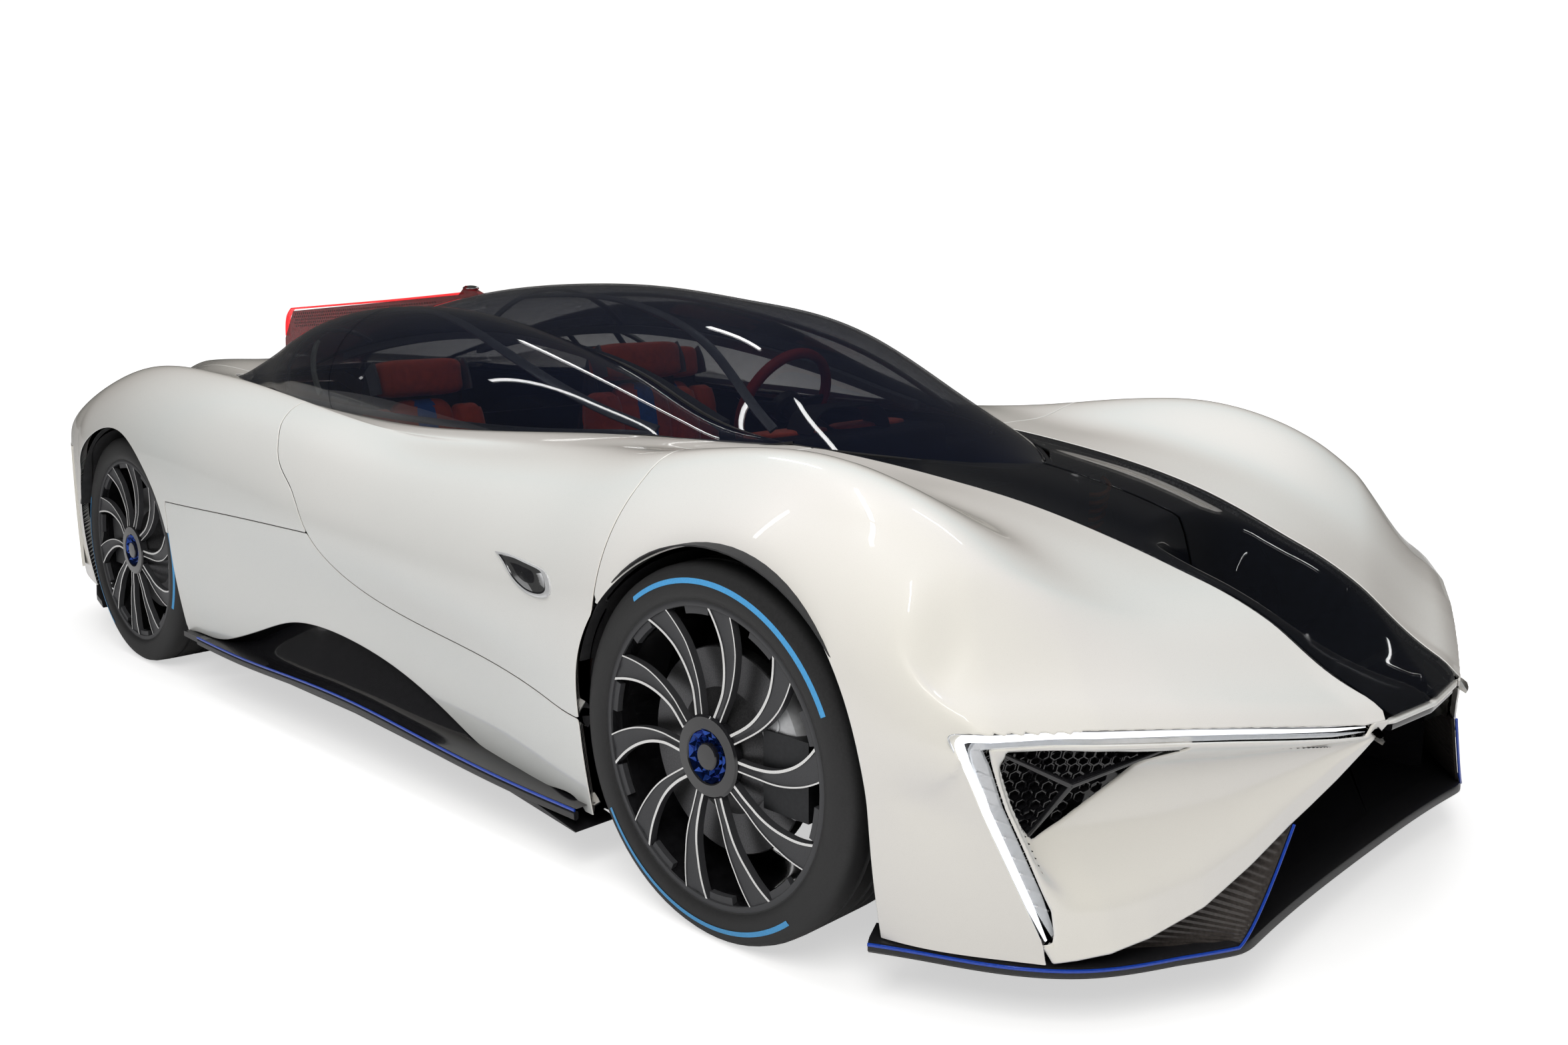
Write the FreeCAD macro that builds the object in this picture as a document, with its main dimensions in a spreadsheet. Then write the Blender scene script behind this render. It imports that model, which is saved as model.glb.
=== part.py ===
import FreeCAD, Part
import math
import os
import Sketcher
from FreeCAD import Placement, Rotation, Vector

# Supercar with three glass bubbles, in millimetres. +Z is up, the nose points along -Y and +X is the car's left.
# The origin is on the ground, under the middle of the car's length.

DOC = FreeCAD.newDocument("supercar")

# Driving dimensions: one sheet row each, with the alias that every expression uses.
SIZES = [
    ("wheelbase", 2780),
    ("front_overhang", 950),
    ("rear_overhang", 1030),
    ("tyre_radius_front", 364),
    ("tyre_radius_rear", 370),
    ("tyre_width_front", 255),
    ("tyre_width_rear", 305),
    ("bead_radius", 283),
    ("tyre_face_front", 992),
    ("tyre_face_rear", 975),
    ("arch_radius_front", 393),
    ("arch_radius_rear", 400),
    ("rim_lip", 14),
    ("rim_wall", 9),
    ("hub_radius", 72),
    ("spoke_count", 10),
    ("spoke_width", 46),
    ("spoke_depth", 16),
    ("stub_radius", 30),
    ("bearing_play", 0.05),
    ("disc_radius", 200),
    ("disc_thickness", 30),
    ("caliper_clearance", 6),
    ("kingpin_inset", 10),
    ("kingpin_radius", 13),
    ("skin", 40),
    ("glass", 8),
    ("door_gap", 6),
    ("hinge_half_spacing", 289),
    ("hinge_height", 1096),
    ("hinge_radius", 9),
    ("floor_height", 110),
    ("floor_thickness", 30),
    ("tub_half_width", 860),
    ("tub_wall", 60),
    ("sill_height", 360),
    ("nose_box_half_width", 270),
    ("splitter_height", 96),
    ("splitter_thickness", 32),
    ("seat_width", 420),
    ("passenger_spacing", 470),
    ("steering_wheel_radius", 165),
    ("steering_rim_radius", 14),
    ("fin_thickness", 24),
    ("powerplant_length", 620),
    ("powerplant_width", 560),
    ("powerplant_height", 360),
]

sheet = DOC.addObject("Spreadsheet::Sheet", "sizes")
for sheet_row, (alias, value) in enumerate(SIZES, 1):
    sheet.set("A%d" % sheet_row, str(value))
    sheet.setAlias("A%d" % sheet_row, alias)
DOC.recompute()


def size(alias):
    """The value of one driving dimension."""
    return float(sheet.get(alias))


HALF_LENGTH = (size("front_overhang") + size("wheelbase") + size("rear_overhang")) / 2
NOSE = -HALF_LENGTH
TAIL = HALF_LENGTH
FRONT = NOSE + size("front_overhang")
REAR = TAIL - size("rear_overhang")
AXLE = {"front": FRONT, "rear": REAR}
SKIN = size("skin")
GLASS = size("glass")
GAP = size("door_gap")
FLOOR = size("floor_height")
FLOOR_TOP = FLOOR + size("floor_thickness")
BLADE = size("splitter_height")
BLADE_TOP = BLADE + size("splitter_thickness")
ROOF = 1500
FRONT_EXPR = "(sizes.front_overhang - sizes.wheelbase - sizes.rear_overhang) / 2"
REAR_EXPR = "(sizes.front_overhang + sizes.wheelbase - sizes.rear_overhang) / 2"

PARTS = []


def publish(label, thing):
    """Name a finished sub-part."""
    thing.Label = label
    PARTS.append(thing)
    return thing


def feature(label, *shapes):
    """A sub-part whose shape is worked out with Part's own functions."""
    item = DOC.addObject("Part::Feature", label)
    solids = [solid for shape in shapes for solid in shape.Solids]
    item.Shape = solids[0] if len(solids) == 1 else Part.makeCompound(solids)
    return publish(label, item)


def mirrored(shape):
    """The same shape on the other side of the car."""
    return shape.mirror(Vector(0, 0, 0), Vector(1, 0, 0))


def both(shape):
    """A shape and its twin on the other side."""
    return [shape, mirrored(shape)]


def block(low, high):
    """A box from its lowest to its highest corner."""
    return Part.makeBox(high[0] - low[0], high[1] - low[1], high[2] - low[2], Vector(*low))


def rod(start, end, radius):
    """A round bar between two points."""
    run = Vector(*end) - Vector(*start)
    return Part.makeCylinder(radius, run.Length, Vector(*start), run)


def prism(points, direction):
    """A flat outline of points pushed along a direction."""
    corners = [Vector(*point) for point in points]
    return Part.Face(Part.makePolygon(corners + corners[:1])).extrude(Vector(*direction))


def side_prism(outline, low, high):
    """A side view outline of (y, z) points, from x = low to x = high."""
    return prism([(low, y, z) for y, z in outline], (high - low, 0, 0))


def plan_prism(outline, low, high):
    """A plan outline of (x, y) points, from z = low to z = high."""
    return prism([(x, y, low) for x, y in outline], (0, 0, high - low))


def front_prism(outline, low, high):
    """A front view outline of (x, z) points, from y = low to y = high."""
    return prism([(x, low, z) for x, z in outline], (0, high - low, 0))


def bulged(start, end, bulge):
    """An arc from start to end in a plane of constant y, standing out by bulge on the outer side."""
    run = end - start
    outward = Vector(0, 1, 0).cross(run)
    outward.normalize()
    return Part.Arc(start, (start + end) * 0.5 + outward * bulge, end).toShape()


# Half cross-sections of the body, front to back. back is measured from the named axle. Each is the underside, then
# the side up to the widest point, the shoulder up to the crown, the flank of the hood or deck in to its inner edge,
# and the middle. The last three columns are how far the side, shoulder and top arcs stand out.
BODY_SECTIONS = [
    # axle, back, under, wide, wide_z, crown, crown_z, inner, inner_z, middle_z, side, shoulder, top
    ("front", -990, 128, 955, 300, 650, 425, 176, 448, 456, 12, 26, 4),
    ("front", -820, 128, 962, 380, 640, 500, 195, 538, 547, 12, 34, 5),
    ("front", -600, 128, 975, 430, 730, 655, 229, 656, 668, 14, 52, 8),
    ("front", -400, 128, 990, 470, 775, 800, 263, 727, 740, 14, 62, -4),
    ("front", -80, 128, 1003, 530, 780, 904, 302, 803, 816, 14, 66, -12),
    ("front", 330, 130, 1003, 530, 790, 884, 343, 850, 866, 12, 56, -10),
    ("front", 800, 130, 968, 520, 795, 842, 545, 868, 874, 8, 40, -4),
    ("front", 1380, 130, 950, 560, 815, 836, 698, 855, 858, 4, 30, 2),
    ("rear", -780, 135, 985, 600, 830, 908, 700, 872, 866, 8, 46, 4),
    ("rear", -320, 150, 1012, 600, 845, 950, 600, 886, 900, 12, 60, 4),
    ("rear", 145, 175, 1015, 600, 845, 944, 500, 904, 925, 12, 62, 2),
    ("rear", 545, 195, 985, 570, 815, 836, 400, 925, 935, 12, 60, 6),
    ("rear", 1030, 240, 800, 520, 660, 640, 300, 895, 905, 8, 40, 10),
]
SILL_TUCK = 45


def body_half(inset, floor_drop=0):
    """The left half of the body form as a solid, with its skin moved inwards by inset."""
    wires = []
    for row in BODY_SECTIONS:
        axle, back, under, wide, wide_z, crown, crown_z, inner, inner_z, middle_z, side, shoulder, top = row
        y = AXLE[axle] + back
        foot = Vector(wide - SILL_TUCK - inset, y, under - floor_drop)
        widest = Vector(wide - inset, y, wide_z)
        peak = Vector(crown, y, crown_z - inset)
        edge = Vector(inner, y, inner_z - inset)
        middle = Vector(0, y, middle_z - inset)
        keel = Vector(0, y, under - floor_drop)
        edges = [Part.LineSegment(keel, foot).toShape(), bulged(foot, widest, side)]
        edges += [bulged(widest, peak, shoulder), bulged(peak, edge, top), bulged(edge, middle, 3)]
        edges.append(Part.LineSegment(middle, keel).toShape())
        wires.append(Part.Wire(edges))
    return Part.makeLoft(wires, True, False)


# Plan outline of the left half: the blunt V of the nose, the sides, and the rounded tail, as (x, axle, back).
PLAN = [
    (0, "front", -950), (178, "front", -932), (238, "front", -912), (358, "front", -867), (486, "front", -816),
    (604, "front", -767), (762, "front", -694), (924, "front", -599), (968, "front", -545), (1100, "front", -380),
    (1100, "rear", 250), (1012, "rear", 330), (965, "rear", 500), (880, "rear", 730), (780, "rear", 880),
    (600, "rear", 975), (350, "rear", 1018), (0, "rear", 1030),
]
PLAN_POINTS = [(x, AXLE[axle] + back) for x, axle, back in PLAN]


def plan_half(inset):
    """Prism of the plan outline, moved inwards by inset at the nose and tail."""
    outline = Part.makePolygon([Vector(x, y, 0) for x, y in PLAN_POINTS + PLAN_POINTS[:1]])
    if inset:
        outline = outline.makeOffset2D(-inset, 2)
    solid = Part.Face(outline).extrude(Vector(0, 0, ROOF))
    if inset:
        solid = solid.fuse(block((-inset, NOSE, 0), (inset * 1.5, TAIL, ROOF)).common(
            block((-inset, NOSE + inset, 0), (inset * 1.5, TAIL - inset, ROOF))))
    return solid


OUTER = body_half(0).common(plan_half(0))
INNER = body_half(SKIN, 200).common(plan_half(SKIN))
SHELL = OUTER.cut(INNER)
UNDER_GLASS = body_half(GLASS, 200)


# Seams, in the side view, as (back from the named axle, height).
def seam(points):
    return [(AXLE[axle] + back, z) for axle, back, z in points]


DOOR_FRONT = FRONT + 320
DOOR_SEAM = seam([
    ("front", 320, 347), ("front", 459, 352), ("front", 519, 365), ("front", 691, 391), ("front", 946, 405),
    ("front", 1230, 431), ("front", 1421, 481), ("front", 1538, 557), ("rear", -1103, 666), ("rear", -1075, 727),
    ("rear", -930, 790), ("rear", -780, 862), ("rear", -670, 880), ("rear", -450, 1110), ("rear", -450, ROOF),
])


def door_region(gap):
    """Everything that lifts with a door, seen from the side, grown by gap on its free edges."""
    front = DOOR_FRONT + GAP - gap
    edge = [(y + gap, z - gap * 0.8) for y, z in DOOR_SEAM]
    edge[0] = (front, edge[0][1])
    edge[-1] = (edge[-1][0], ROOF)
    return side_prism(edge + [(front, ROOF)], 0, 1300)


SILL_TOP = REAR - 400
QUARTER_SEAM_Z = 580

# Half plan of the cabin opening, under the three bubbles: (x, axle, back).
WAIST = [
    (0, "front", -58), (60, "front", -42), (150, "front", 20), (215, "front", 114), (343, "front", 336),
    (500, "front", 600), (600, "front", 1000), (690, "front", 1330), (704, "front", 1600), (706, "rear", -680),
    (660, "rear", -400), (590, "rear", -180), (500, "rear", 193), (0, "rear", 193),
]
WAIST_POINTS = [(x, AXLE[axle] + back) for x, axle, back in WAIST]
CABIN_HOLE = plan_prism(WAIST_POINTS, 500, ROOF)

# Half plan of the dark hood strip, from the nose to the canopy: (x, back from the front axle).
STRIP = [(0, -1000), (176, -1000), (180, -900), (194, -827), (207, -730), (222, -631), (246, -485), (269, -364),
         (286, -233), (306, -60), (314, 0), (343, 336), (0, 336)]
HOOD_REGION = plan_prism([(x, FRONT + back) for x, back in STRIP], 430, ROOF)

ARCH_DEPTH = 560


def arch(axle_y, radius, hub_height, gap=0):
    """Wheel opening of one axle on the left: round above the hub, straight legs below."""
    grown = radius + gap
    well = rod((ARCH_DEPTH, axle_y, hub_height), (1200, axle_y, hub_height), grown)
    legs = block((ARCH_DEPTH, axle_y - grown, -10), (1200, axle_y + grown, hub_height))
    return well.fuse(legs)


FRONT_ARCH = arch(FRONT, size("arch_radius_front"), size("tyre_radius_front"))
REAR_ARCH = arch(REAR, size("arch_radius_rear"), size("tyre_radius_rear"))

# The mouth between the two front fangs, seen from the front: (x, z).
MOUTH = front_prism([
    (0, 440), (172, 440), (400, 304), (600, 198), (780, 155), (780, 0), (0, 0)], NOSE - 50, FRONT - 430)

# Headlamp: a bar under the lip of the nose and a leg down its outer end, seen from the front.
LAMP_BAR = front_prism([(205, 428), (486, 462), (762, 495), (925, 508), (968, 516), (975, 534), (924, 532),
                        (762, 518), (486, 485), (205, 450)], NOSE - 50, FRONT - 520)
LAMP_LEG = front_prism([(925, 508), (968, 516), (838, 166), (806, 182)], NOSE - 50, FRONT - 520)
LAMP_REGION = LAMP_BAR.fuse(LAMP_LEG)
VENT_CORNERS = [(600, 466), (900, 500), (800, 319)]
VENT_REGION = front_prism(VENT_CORNERS, NOSE - 50, FRONT - 520)

# Hollow above the black side skirt, seen from the side.
SKIRT_HOLLOW = side_prism([
    (FRONT + 405, 100), (FRONT + 675, 149), (FRONT + 832, 152), (FRONT + 962, 191), (FRONT + 1171, 257),
    (FRONT + 1441, 301), (REAR - 1147, 314), (REAR - 1032, 302), (REAR - 883, 259), (REAR - 586, 176),
    (REAR - 420, 180), (REAR - 420, 100)], 700, 1200)

cut_shell = SHELL.cut([FRONT_ARCH, REAR_ARCH, SKIRT_HOLLOW])
open_shell = cut_shell.cut([CABIN_HOLE, HOOD_REGION])
front_part = open_shell.common(block((0, NOSE - 50, 0), (1200, DOOR_FRONT, ROOF))).cut(MOUTH)
front_part = front_part.cut(block((0, NOSE - 50, 0), (1200, FRONT - 380, BLADE_TOP)))
front_fender = front_part.cut([LAMP_REGION, VENT_REGION])
headlamp = front_part.common(LAMP_REGION)
wall_slab = plan_half(SKIN - 16).cut(plan_half(SKIN))
nose_grille = OUTER.common(wall_slab).common(VENT_REGION)

# Honeycomb of the grille: six-sided holes in rows, each one clear of the plate's edge, and a star with an arm to
# each corner left solid between them.
CELL = 22
CELL_WALL = 5
STAR_HALF = 8
VENT_MIDDLE = tuple(sum(corner[k] for corner in VENT_CORNERS) / 3 for k in range(2))


def from_line(point, start, end):
    """Distance of a point from a line through two others, positive on its left."""
    run = (end[0] - start[0], end[1] - start[1])
    return (run[0] * (point[1] - start[1]) - run[1] * (point[0] - start[0])) / math.hypot(*run)


def clear_of_star(point, margin):
    """True where a point is over margin from every arm."""
    for corner in VENT_CORNERS:
        run = (corner[0] - VENT_MIDDLE[0], corner[1] - VENT_MIDDLE[1])
        along = ((point[0] - VENT_MIDDLE[0]) * run[0] + (point[1] - VENT_MIDDLE[1]) * run[1]) / math.hypot(*run)
        if along > -margin and abs(from_line(point, VENT_MIDDLE, corner)) < margin:
            return False
    return True


cells = []
hole = (CELL - CELL_WALL) / 2
for row in range(12):
    for column in range(20):
        spot = (590 + (column + row % 2 / 2) * CELL, 310 + row * CELL * math.sqrt(3) / 2)
        inward = [abs(from_line(spot, VENT_CORNERS[k], VENT_CORNERS[(k + 1) % 3])) for k in range(3)]
        turns = [from_line(spot, VENT_CORNERS[k], VENT_CORNERS[(k + 1) % 3]) < 0 for k in range(3)]
        if all(turns) and min(inward) > hole + 6 and clear_of_star(spot, STAR_HALF + hole):
            ring = [(spot[0] + hole * math.sin(math.radians(60 * k)) / math.cos(math.radians(30)),
                     spot[1] + hole * math.cos(math.radians(60 * k)) / math.cos(math.radians(30))) for k in range(6)]
            cells.append(front_prism(ring, NOSE - 50, FRONT - 400))
nose_grille = nose_grille.cut(cells)

feature("front_fender_left", front_fender)
feature("front_fender_right", mirrored(front_fender))
feature("headlamps", *both(headlamp))
feature("nose_grilles", *both(nose_grille))

# Hood glass, one sheet over both halves, from the nose lip to the tip of the canopy.
hood_half = OUTER.cut(UNDER_GLASS).common(HOOD_REGION).cut(CABIN_HOLE)
feature("hood_glass", hood_half.fuse(mirrored(hood_half)))

door_shape = open_shell.common(door_region(0))
rest = open_shell.common(block((0, DOOR_FRONT, 0), (1200, TAIL + 50, ROOF))).cut(door_region(GAP))
sill_zone = side_prism([
    (DOOR_FRONT, 0), (DOOR_FRONT, QUARTER_SEAM_Z), (SILL_TOP, QUARTER_SEAM_Z), (SILL_TOP, 0)], 0, 1200)
side_sill = rest.common(sill_zone)
feature("side_sills", *both(side_sill))
deck_zone = block((0, REAR + 193, 700), (420, TAIL + 50, ROOF))
quarter = rest.cut([sill_zone, deck_zone])
feature("rear_quarter_left", quarter)
feature("rear_quarter_right", mirrored(quarter))
deck_half = rest.common(deck_zone)
feature("rear_deck", deck_half.fuse(mirrored(deck_half)))


feature("door_panel_left", door_shape)
feature("door_panel_right", mirrored(door_shape))

# Glass bubbles. The centre one stands on the valley lines either side of it; each outer one runs from its valley down
# to the waist of the body. Stations are front to back.
CENTRE_BUBBLE = [
    # axle, back, half_width, edge_z, top_z
    ("front", -50, 60, 812, 822),
    ("front", 114, 224, 834, 879),
    ("front", 336, 350, 856, 990),
    ("front", 600, 384, 900, 1120),
    ("front", 900, 339, 985, 1177),
    ("front", 1250, 303, 1052, 1214),
    ("front", 1600, 286, 1084, 1222),
    ("rear", -880, 285, 1080, 1210),
    ("rear", -530, 288, 1048, 1170),
    ("rear", -180, 286, 990, 1090),
    ("rear", 193, 262, 900, 936),
]
OUTER_BUBBLE = [
    # axle, back, valley_x, valley_z, waist_x, waist_z, bulge
    ("front", 400, 360, 866, 412, 858, 5),
    ("front", 600, 384, 900, 515, 868, 22),
    ("front", 900, 339, 985, 592, 856, 62),
    ("front", 1250, 303, 1052, 684, 846, 135),
    ("front", 1600, 286, 1084, 716, 848, 178),
    ("rear", -880, 285, 1080, 718, 856, 180),
    ("rear", -530, 288, 1048, 690, 866, 150),
    ("rear", -180, 286, 990, 602, 884, 85),
    ("rear", 100, 268, 930, 545, 894, 25),
]


def three_point(start, middle, end):
    return Part.Arc(Vector(*start), Vector(*middle), Vector(*end)).toShape()


def straight(start, end):
    return Part.LineSegment(Vector(*start), Vector(*end)).toShape()


def centre_form(inset, drop=0):
    """The centre bubble as a closed solid, moved inwards by inset, with upright sides of height drop below it."""
    wires = []
    for axle, back, half, edge_z, top_z in CENTRE_BUBBLE:
        y = AXLE[axle] + back
        left, right = (half - inset, y, edge_z), (inset - half, y, edge_z)
        corners = [right, left]
        if drop:
            corners = [right, (inset - half, y, edge_z - drop), (half - inset, y, edge_z - drop), left]
        sides = [straight(start, end) for start, end in zip(corners, corners[1:])]
        wires.append(Part.Wire(sides + [three_point(left, (0, y, top_z - inset), right)]))
    return Part.makeLoft(wires, True, False)


def centre_strip():
    """The centre bubble as a curved sheet of glass."""
    wires = []
    for axle, back, half, edge_z, top_z in CENTRE_BUBBLE:
        y = AXLE[axle] + back
        inner = half - GLASS
        wires.append(Part.Wire([
            three_point((half, y, edge_z), (0, y, top_z), (-half, y, edge_z)),
            straight((-half, y, edge_z), (-inner, y, edge_z)),
            three_point((-inner, y, edge_z), (0, y, top_z - GLASS), (inner, y, edge_z)),
            straight((inner, y, edge_z), (half, y, edge_z))]))
    return Part.makeLoft(wires, True, False)


def outer_strip():
    """The left outer bubble as a curved sheet of glass."""
    wires = []
    for axle, back, valley_x, valley_z, waist_x, waist_z, bulge in OUTER_BUBBLE:
        y = AXLE[axle] + back
        start, end = Vector(valley_x + GAP, y, valley_z), Vector(waist_x, y, waist_z)
        run = end - start
        normal = Vector(run.z, 0, -run.x)
        normal.normalize()
        normal = normal * -1
        middle = (start + end) * 0.5 + normal * bulge
        inner_start, inner_end = start - Vector(0, 0, GLASS), end - Vector(GLASS, 0, 0)
        inner_middle = middle - normal * GLASS
        wires.append(Part.Wire([
            Part.Arc(start, middle, end).toShape(), Part.LineSegment(end, inner_end).toShape(),
            Part.Arc(inner_end, inner_middle, inner_start).toShape(),
            Part.LineSegment(inner_start, start).toShape()]))
    return Part.makeLoft(wires, True, False)


CENTRE_SOLID = centre_form(0)
solid_body = OUTER.cut(CABIN_HOLE)
solid_body = solid_body.fuse(mirrored(solid_body))


def largest(shape):
    """The biggest solid of a shape, without the slivers that a cut may leave."""
    return max(shape.Solids, key=lambda solid: solid.Volume)


canopy_glass = largest(centre_strip().cut(solid_body))
feature("canopy_glass", canopy_glass)

outer_glass = outer_strip().cut([OUTER.cut(CABIN_HOLE), centre_form(-GAP, 3 * GLASS)])
door_glass = largest(outer_glass.common(door_region(0)))
quarter_glass = largest(outer_glass.cut(door_region(GAP)))
feature("quarter_glass", *both(quarter_glass))

# Door hinges in the valley: ears and pins on the centre bubble, barrels on the door glass.
HINGE_X = size("hinge_half_spacing")
HINGE_Z = size("hinge_height")
HINGE_R = size("hinge_radius")
PIN_R = HINGE_R - 4
PLAY = size("bearing_play")
BARREL_LENGTH = 60
EAR = 6
HINGE_PLACES = [FRONT + 1580, REAR - 890]
hinge_roots = []
barrels = []
for place in HINGE_PLACES:
    low, high = place - BARREL_LENGTH / 2, place + BARREL_LENGTH / 2
    pin = rod((HINGE_X, low - EAR, HINGE_Z), (HINGE_X, high + EAR, HINGE_Z), PIN_R)
    ears = [block((HINGE_X - 34, start, HINGE_Z - 7), (HINGE_X + 6, start + EAR, HINGE_Z + 7))
            for start in (low - EAR - 0.5, high + 0.5)]
    hinge_roots.append(largest(pin.fuse(ears).cut([CENTRE_SOLID, canopy_glass])))
    leaf = block((HINGE_X, low, HINGE_Z - 8), (HINGE_X + 24, high, HINGE_Z + 4))
    barrel = rod((HINGE_X, low, HINGE_Z), (HINGE_X, high, HINGE_Z), HINGE_R).fuse(leaf)
    barrels.append(barrel.cut(rod((HINGE_X, low, HINGE_Z), (HINGE_X, high, HINGE_Z), PIN_R + PLAY)))
hinge_holes = [rod((HINGE_X, place - 45, HINGE_Z), (HINGE_X, place + 45, HINGE_Z), PIN_R + PLAY)
               for place in HINGE_PLACES]
door_glass = door_glass.fuse(barrels).cut(hinge_holes)
feature("door_glass_left", door_glass)
feature("door_glass_right", mirrored(door_glass))


def rail():
    """Left rail under the valley edge of the centre bubble."""
    wires = []
    for axle, back, half, edge_z, top_z in CENTRE_BUBBLE[3:-1]:
        y = AXLE[axle] + back
        corners = [Vector(half - 34, y, edge_z - 26), Vector(half - 3, y, edge_z - 26),
                   Vector(half - 3, y, edge_z + 4), Vector(half - 34, y, edge_z + 4)]
        wires.append(Part.makePolygon(corners + corners[:1]))
    return largest(Part.makeLoft(wires, True, False).cut([CENTRE_SOLID, canopy_glass]))


feature("canopy_frame", *both(rail()), *both(hinge_roots[0]), *both(hinge_roots[1]))

# Dorsal fin over the spine, seen from the side. Its lower line runs inside the glass, which then trims it.
FIN = seam([
    ("rear", -633, 1180), ("rear", -533, 1214), ("rear", -490, 1183), ("rear", 716, 1111),
    ("rear", 797, 1002), ("rear", 812, 860), ("rear", 200, 860), ("rear", 193, 931), ("rear", -180, 1086),
    ("rear", -530, 1166)])
FIN_MIDDLE = Vector(0, REAR + 300, 1050)
half_fin = size("fin_thickness") / 2
fin = side_prism(FIN, -half_fin, half_fin).cut(canopy_glass).cut(OUTER.fuse(mirrored(OUTER)))
feature("dorsal_fin", next(solid for solid in fin.Solids if solid.isInside(FIN_MIDDLE, 0.01, True)))

# Tail: a dark panel set in a window of the skin, with light strips on it that echo the V of the nose.
TAIL_WINDOW = front_prism([(0, 330), (600, 330), (705, 500), (600, 590), (300, 800), (0, 812)], REAR + 700, TAIL + 50)
PANEL_BACK = 20
tail_slab = plan_half(SKIN - PANEL_BACK).cut(plan_half(SKIN)).common(block((0, REAR + 700, 0), (1200, TAIL, ROOF)))
tail_half = OUTER.common(tail_slab).common(TAIL_WINDOW)
lamp_slab = plan_half(SKIN - PANEL_BACK - 10).cut(plan_half(SKIN - PANEL_BACK))
lamp_slab = lamp_slab.common(block((0, REAR + 700, 0), (1200, TAIL, ROOF)))
tail_bar = front_prism([(40, 772), (290, 762), (608, 545), (632, 552), (296, 784), (40, 794)], REAR + 700, TAIL + 50)
tail_leg = front_prism([(632, 552), (600, 548), (540, 365), (568, 365)], REAR + 700, TAIL + 50)
tail_lamp = lamp_slab.common(tail_bar.fuse(tail_leg))
for item in PARTS:
    if item.Label.startswith("rear_quarter") or item.Label == "rear_deck":
        window = TAIL_WINDOW.fuse(mirrored(TAIL_WINDOW))
        item.Shape = largest(item.Shape.cut(window))
feature("tail_panel", tail_half.fuse(mirrored(tail_half)))
feature("tail_lamps", *both(tail_lamp))

# Diffuser: a ramp under the tail with upright fences.
DIFFUSER_START = REAR + 430
ramp = side_prism([
    (DIFFUSER_START, 98), (DIFFUSER_START, 122), (TAIL - 45, 272), (TAIL - 45, 250)], 0, 1200).common(INNER)
fences = []
for fence_x in (-5, 215, 430, 640):
    fence = side_prism([
        (DIFFUSER_START + 120, 105), (DIFFUSER_START + 120, 140), (TAIL - 60, 268), (TAIL - 60, 130)],
        fence_x, fence_x + 10)
    fences.append(fence)
diffuser = ramp.fuse(fences)
diffuser = diffuser.cut(block((-20, NOSE, 0), (0, TAIL, ROOF)))
diffuser = diffuser.cut(SHELL)
feature("rear_diffuser", diffuser.fuse(mirrored(diffuser)))

# Splitter blade at the nose, with an upright fin under each fang.
SPLITTER = [(0, -872), (500, -884), (522, -878), (639, -785), (786, -695), (882, -561), (936, -437), (964, -400),
            (560, -400), (560, -380), (0, -380)]
blade = plan_prism([(x, FRONT + back) for x, back in SPLITTER], BLADE, BLADE_TOP)
blade = blade.cut(block((0, FRONT - 540, FLOOR), (size("nose_box_half_width"), FRONT, BLADE_TOP)))
fin_plate = plan_prism([(x, FRONT + back) for x, back in
                        [(505, -876), (519, -870), (700, -738), (692, -728)]], BLADE_TOP, 330)
fin_plate = fin_plate.common(MOUTH)
blade = blade.fuse(fin_plate)
feature("front_splitter", blade.fuse(mirrored(blade)))

# Black duct behind the mouth.
DUCT_BACK = FRONT - 540
duct = INNER.common(block((0, FRONT - 760, BLADE_TOP), (560, DUCT_BACK, 470)))
duct = duct.cut(block((-1, FRONT - 900, BLADE_TOP), (540, DUCT_BACK - 20, 450)))
feature("nose_duct", duct.fuse(mirrored(duct)))

# Black skirts in the hollow of each side: an upright wall against the tub and a thin blade below it.
TUB_X = size("tub_half_width")
skirt_wall = side_prism([
    (FRONT + 420, FLOOR), (FRONT + 420, 140), (FRONT + 962, 215), (FRONT + 1171, 280), (FRONT + 1441, 325),
    (REAR - 1147, 338), (REAR - 1032, 326), (REAR - 883, 283), (REAR - 586, 190), (REAR - 420, 180),
    (REAR - 420, FLOOR)], TUB_X, TUB_X + 22)
skirt_blade = side_prism([
    (FRONT + 405, 100), (FRONT + 675, 149), (FRONT + 832, 152), (FRONT + 1317, 172), (REAR - 586, 176),
    (REAR - 420, 180), (REAR - 420, 164), (REAR - 586, 158), (FRONT + 1317, 152), (FRONT + 832, 132),
    (FRONT + 675, 129), (FRONT + 405, 98)], TUB_X + 22, 990)
feature("side_skirts", *both(skirt_wall.fuse(skirt_blade)))


# Solids made from the sheet: boxes and cylinders whose sizes and places are bound to it.
def bound(kind, name, **sizes_of):
    """A Part primitive with each named property bound to an expression."""
    item = DOC.addObject(kind, name)
    places = {"x": "Placement.Base.x", "y": "Placement.Base.y", "z": "Placement.Base.z"}
    for key, text in sizes_of.items():
        item.setExpression(places.get(key, key), str(text))
    return item


def bound_box(name, length, width, height, x, y, z):
    return bound("Part::Box", name, Length=length, Width=width, Height=height, x=x, y=y, z=z)


def joined(label, *items):
    """One piece made of several primitives."""
    fused = DOC.addObject("Part::MultiFuse", label)
    fused.Shapes = list(items)
    return publish(label, fused)


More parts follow.
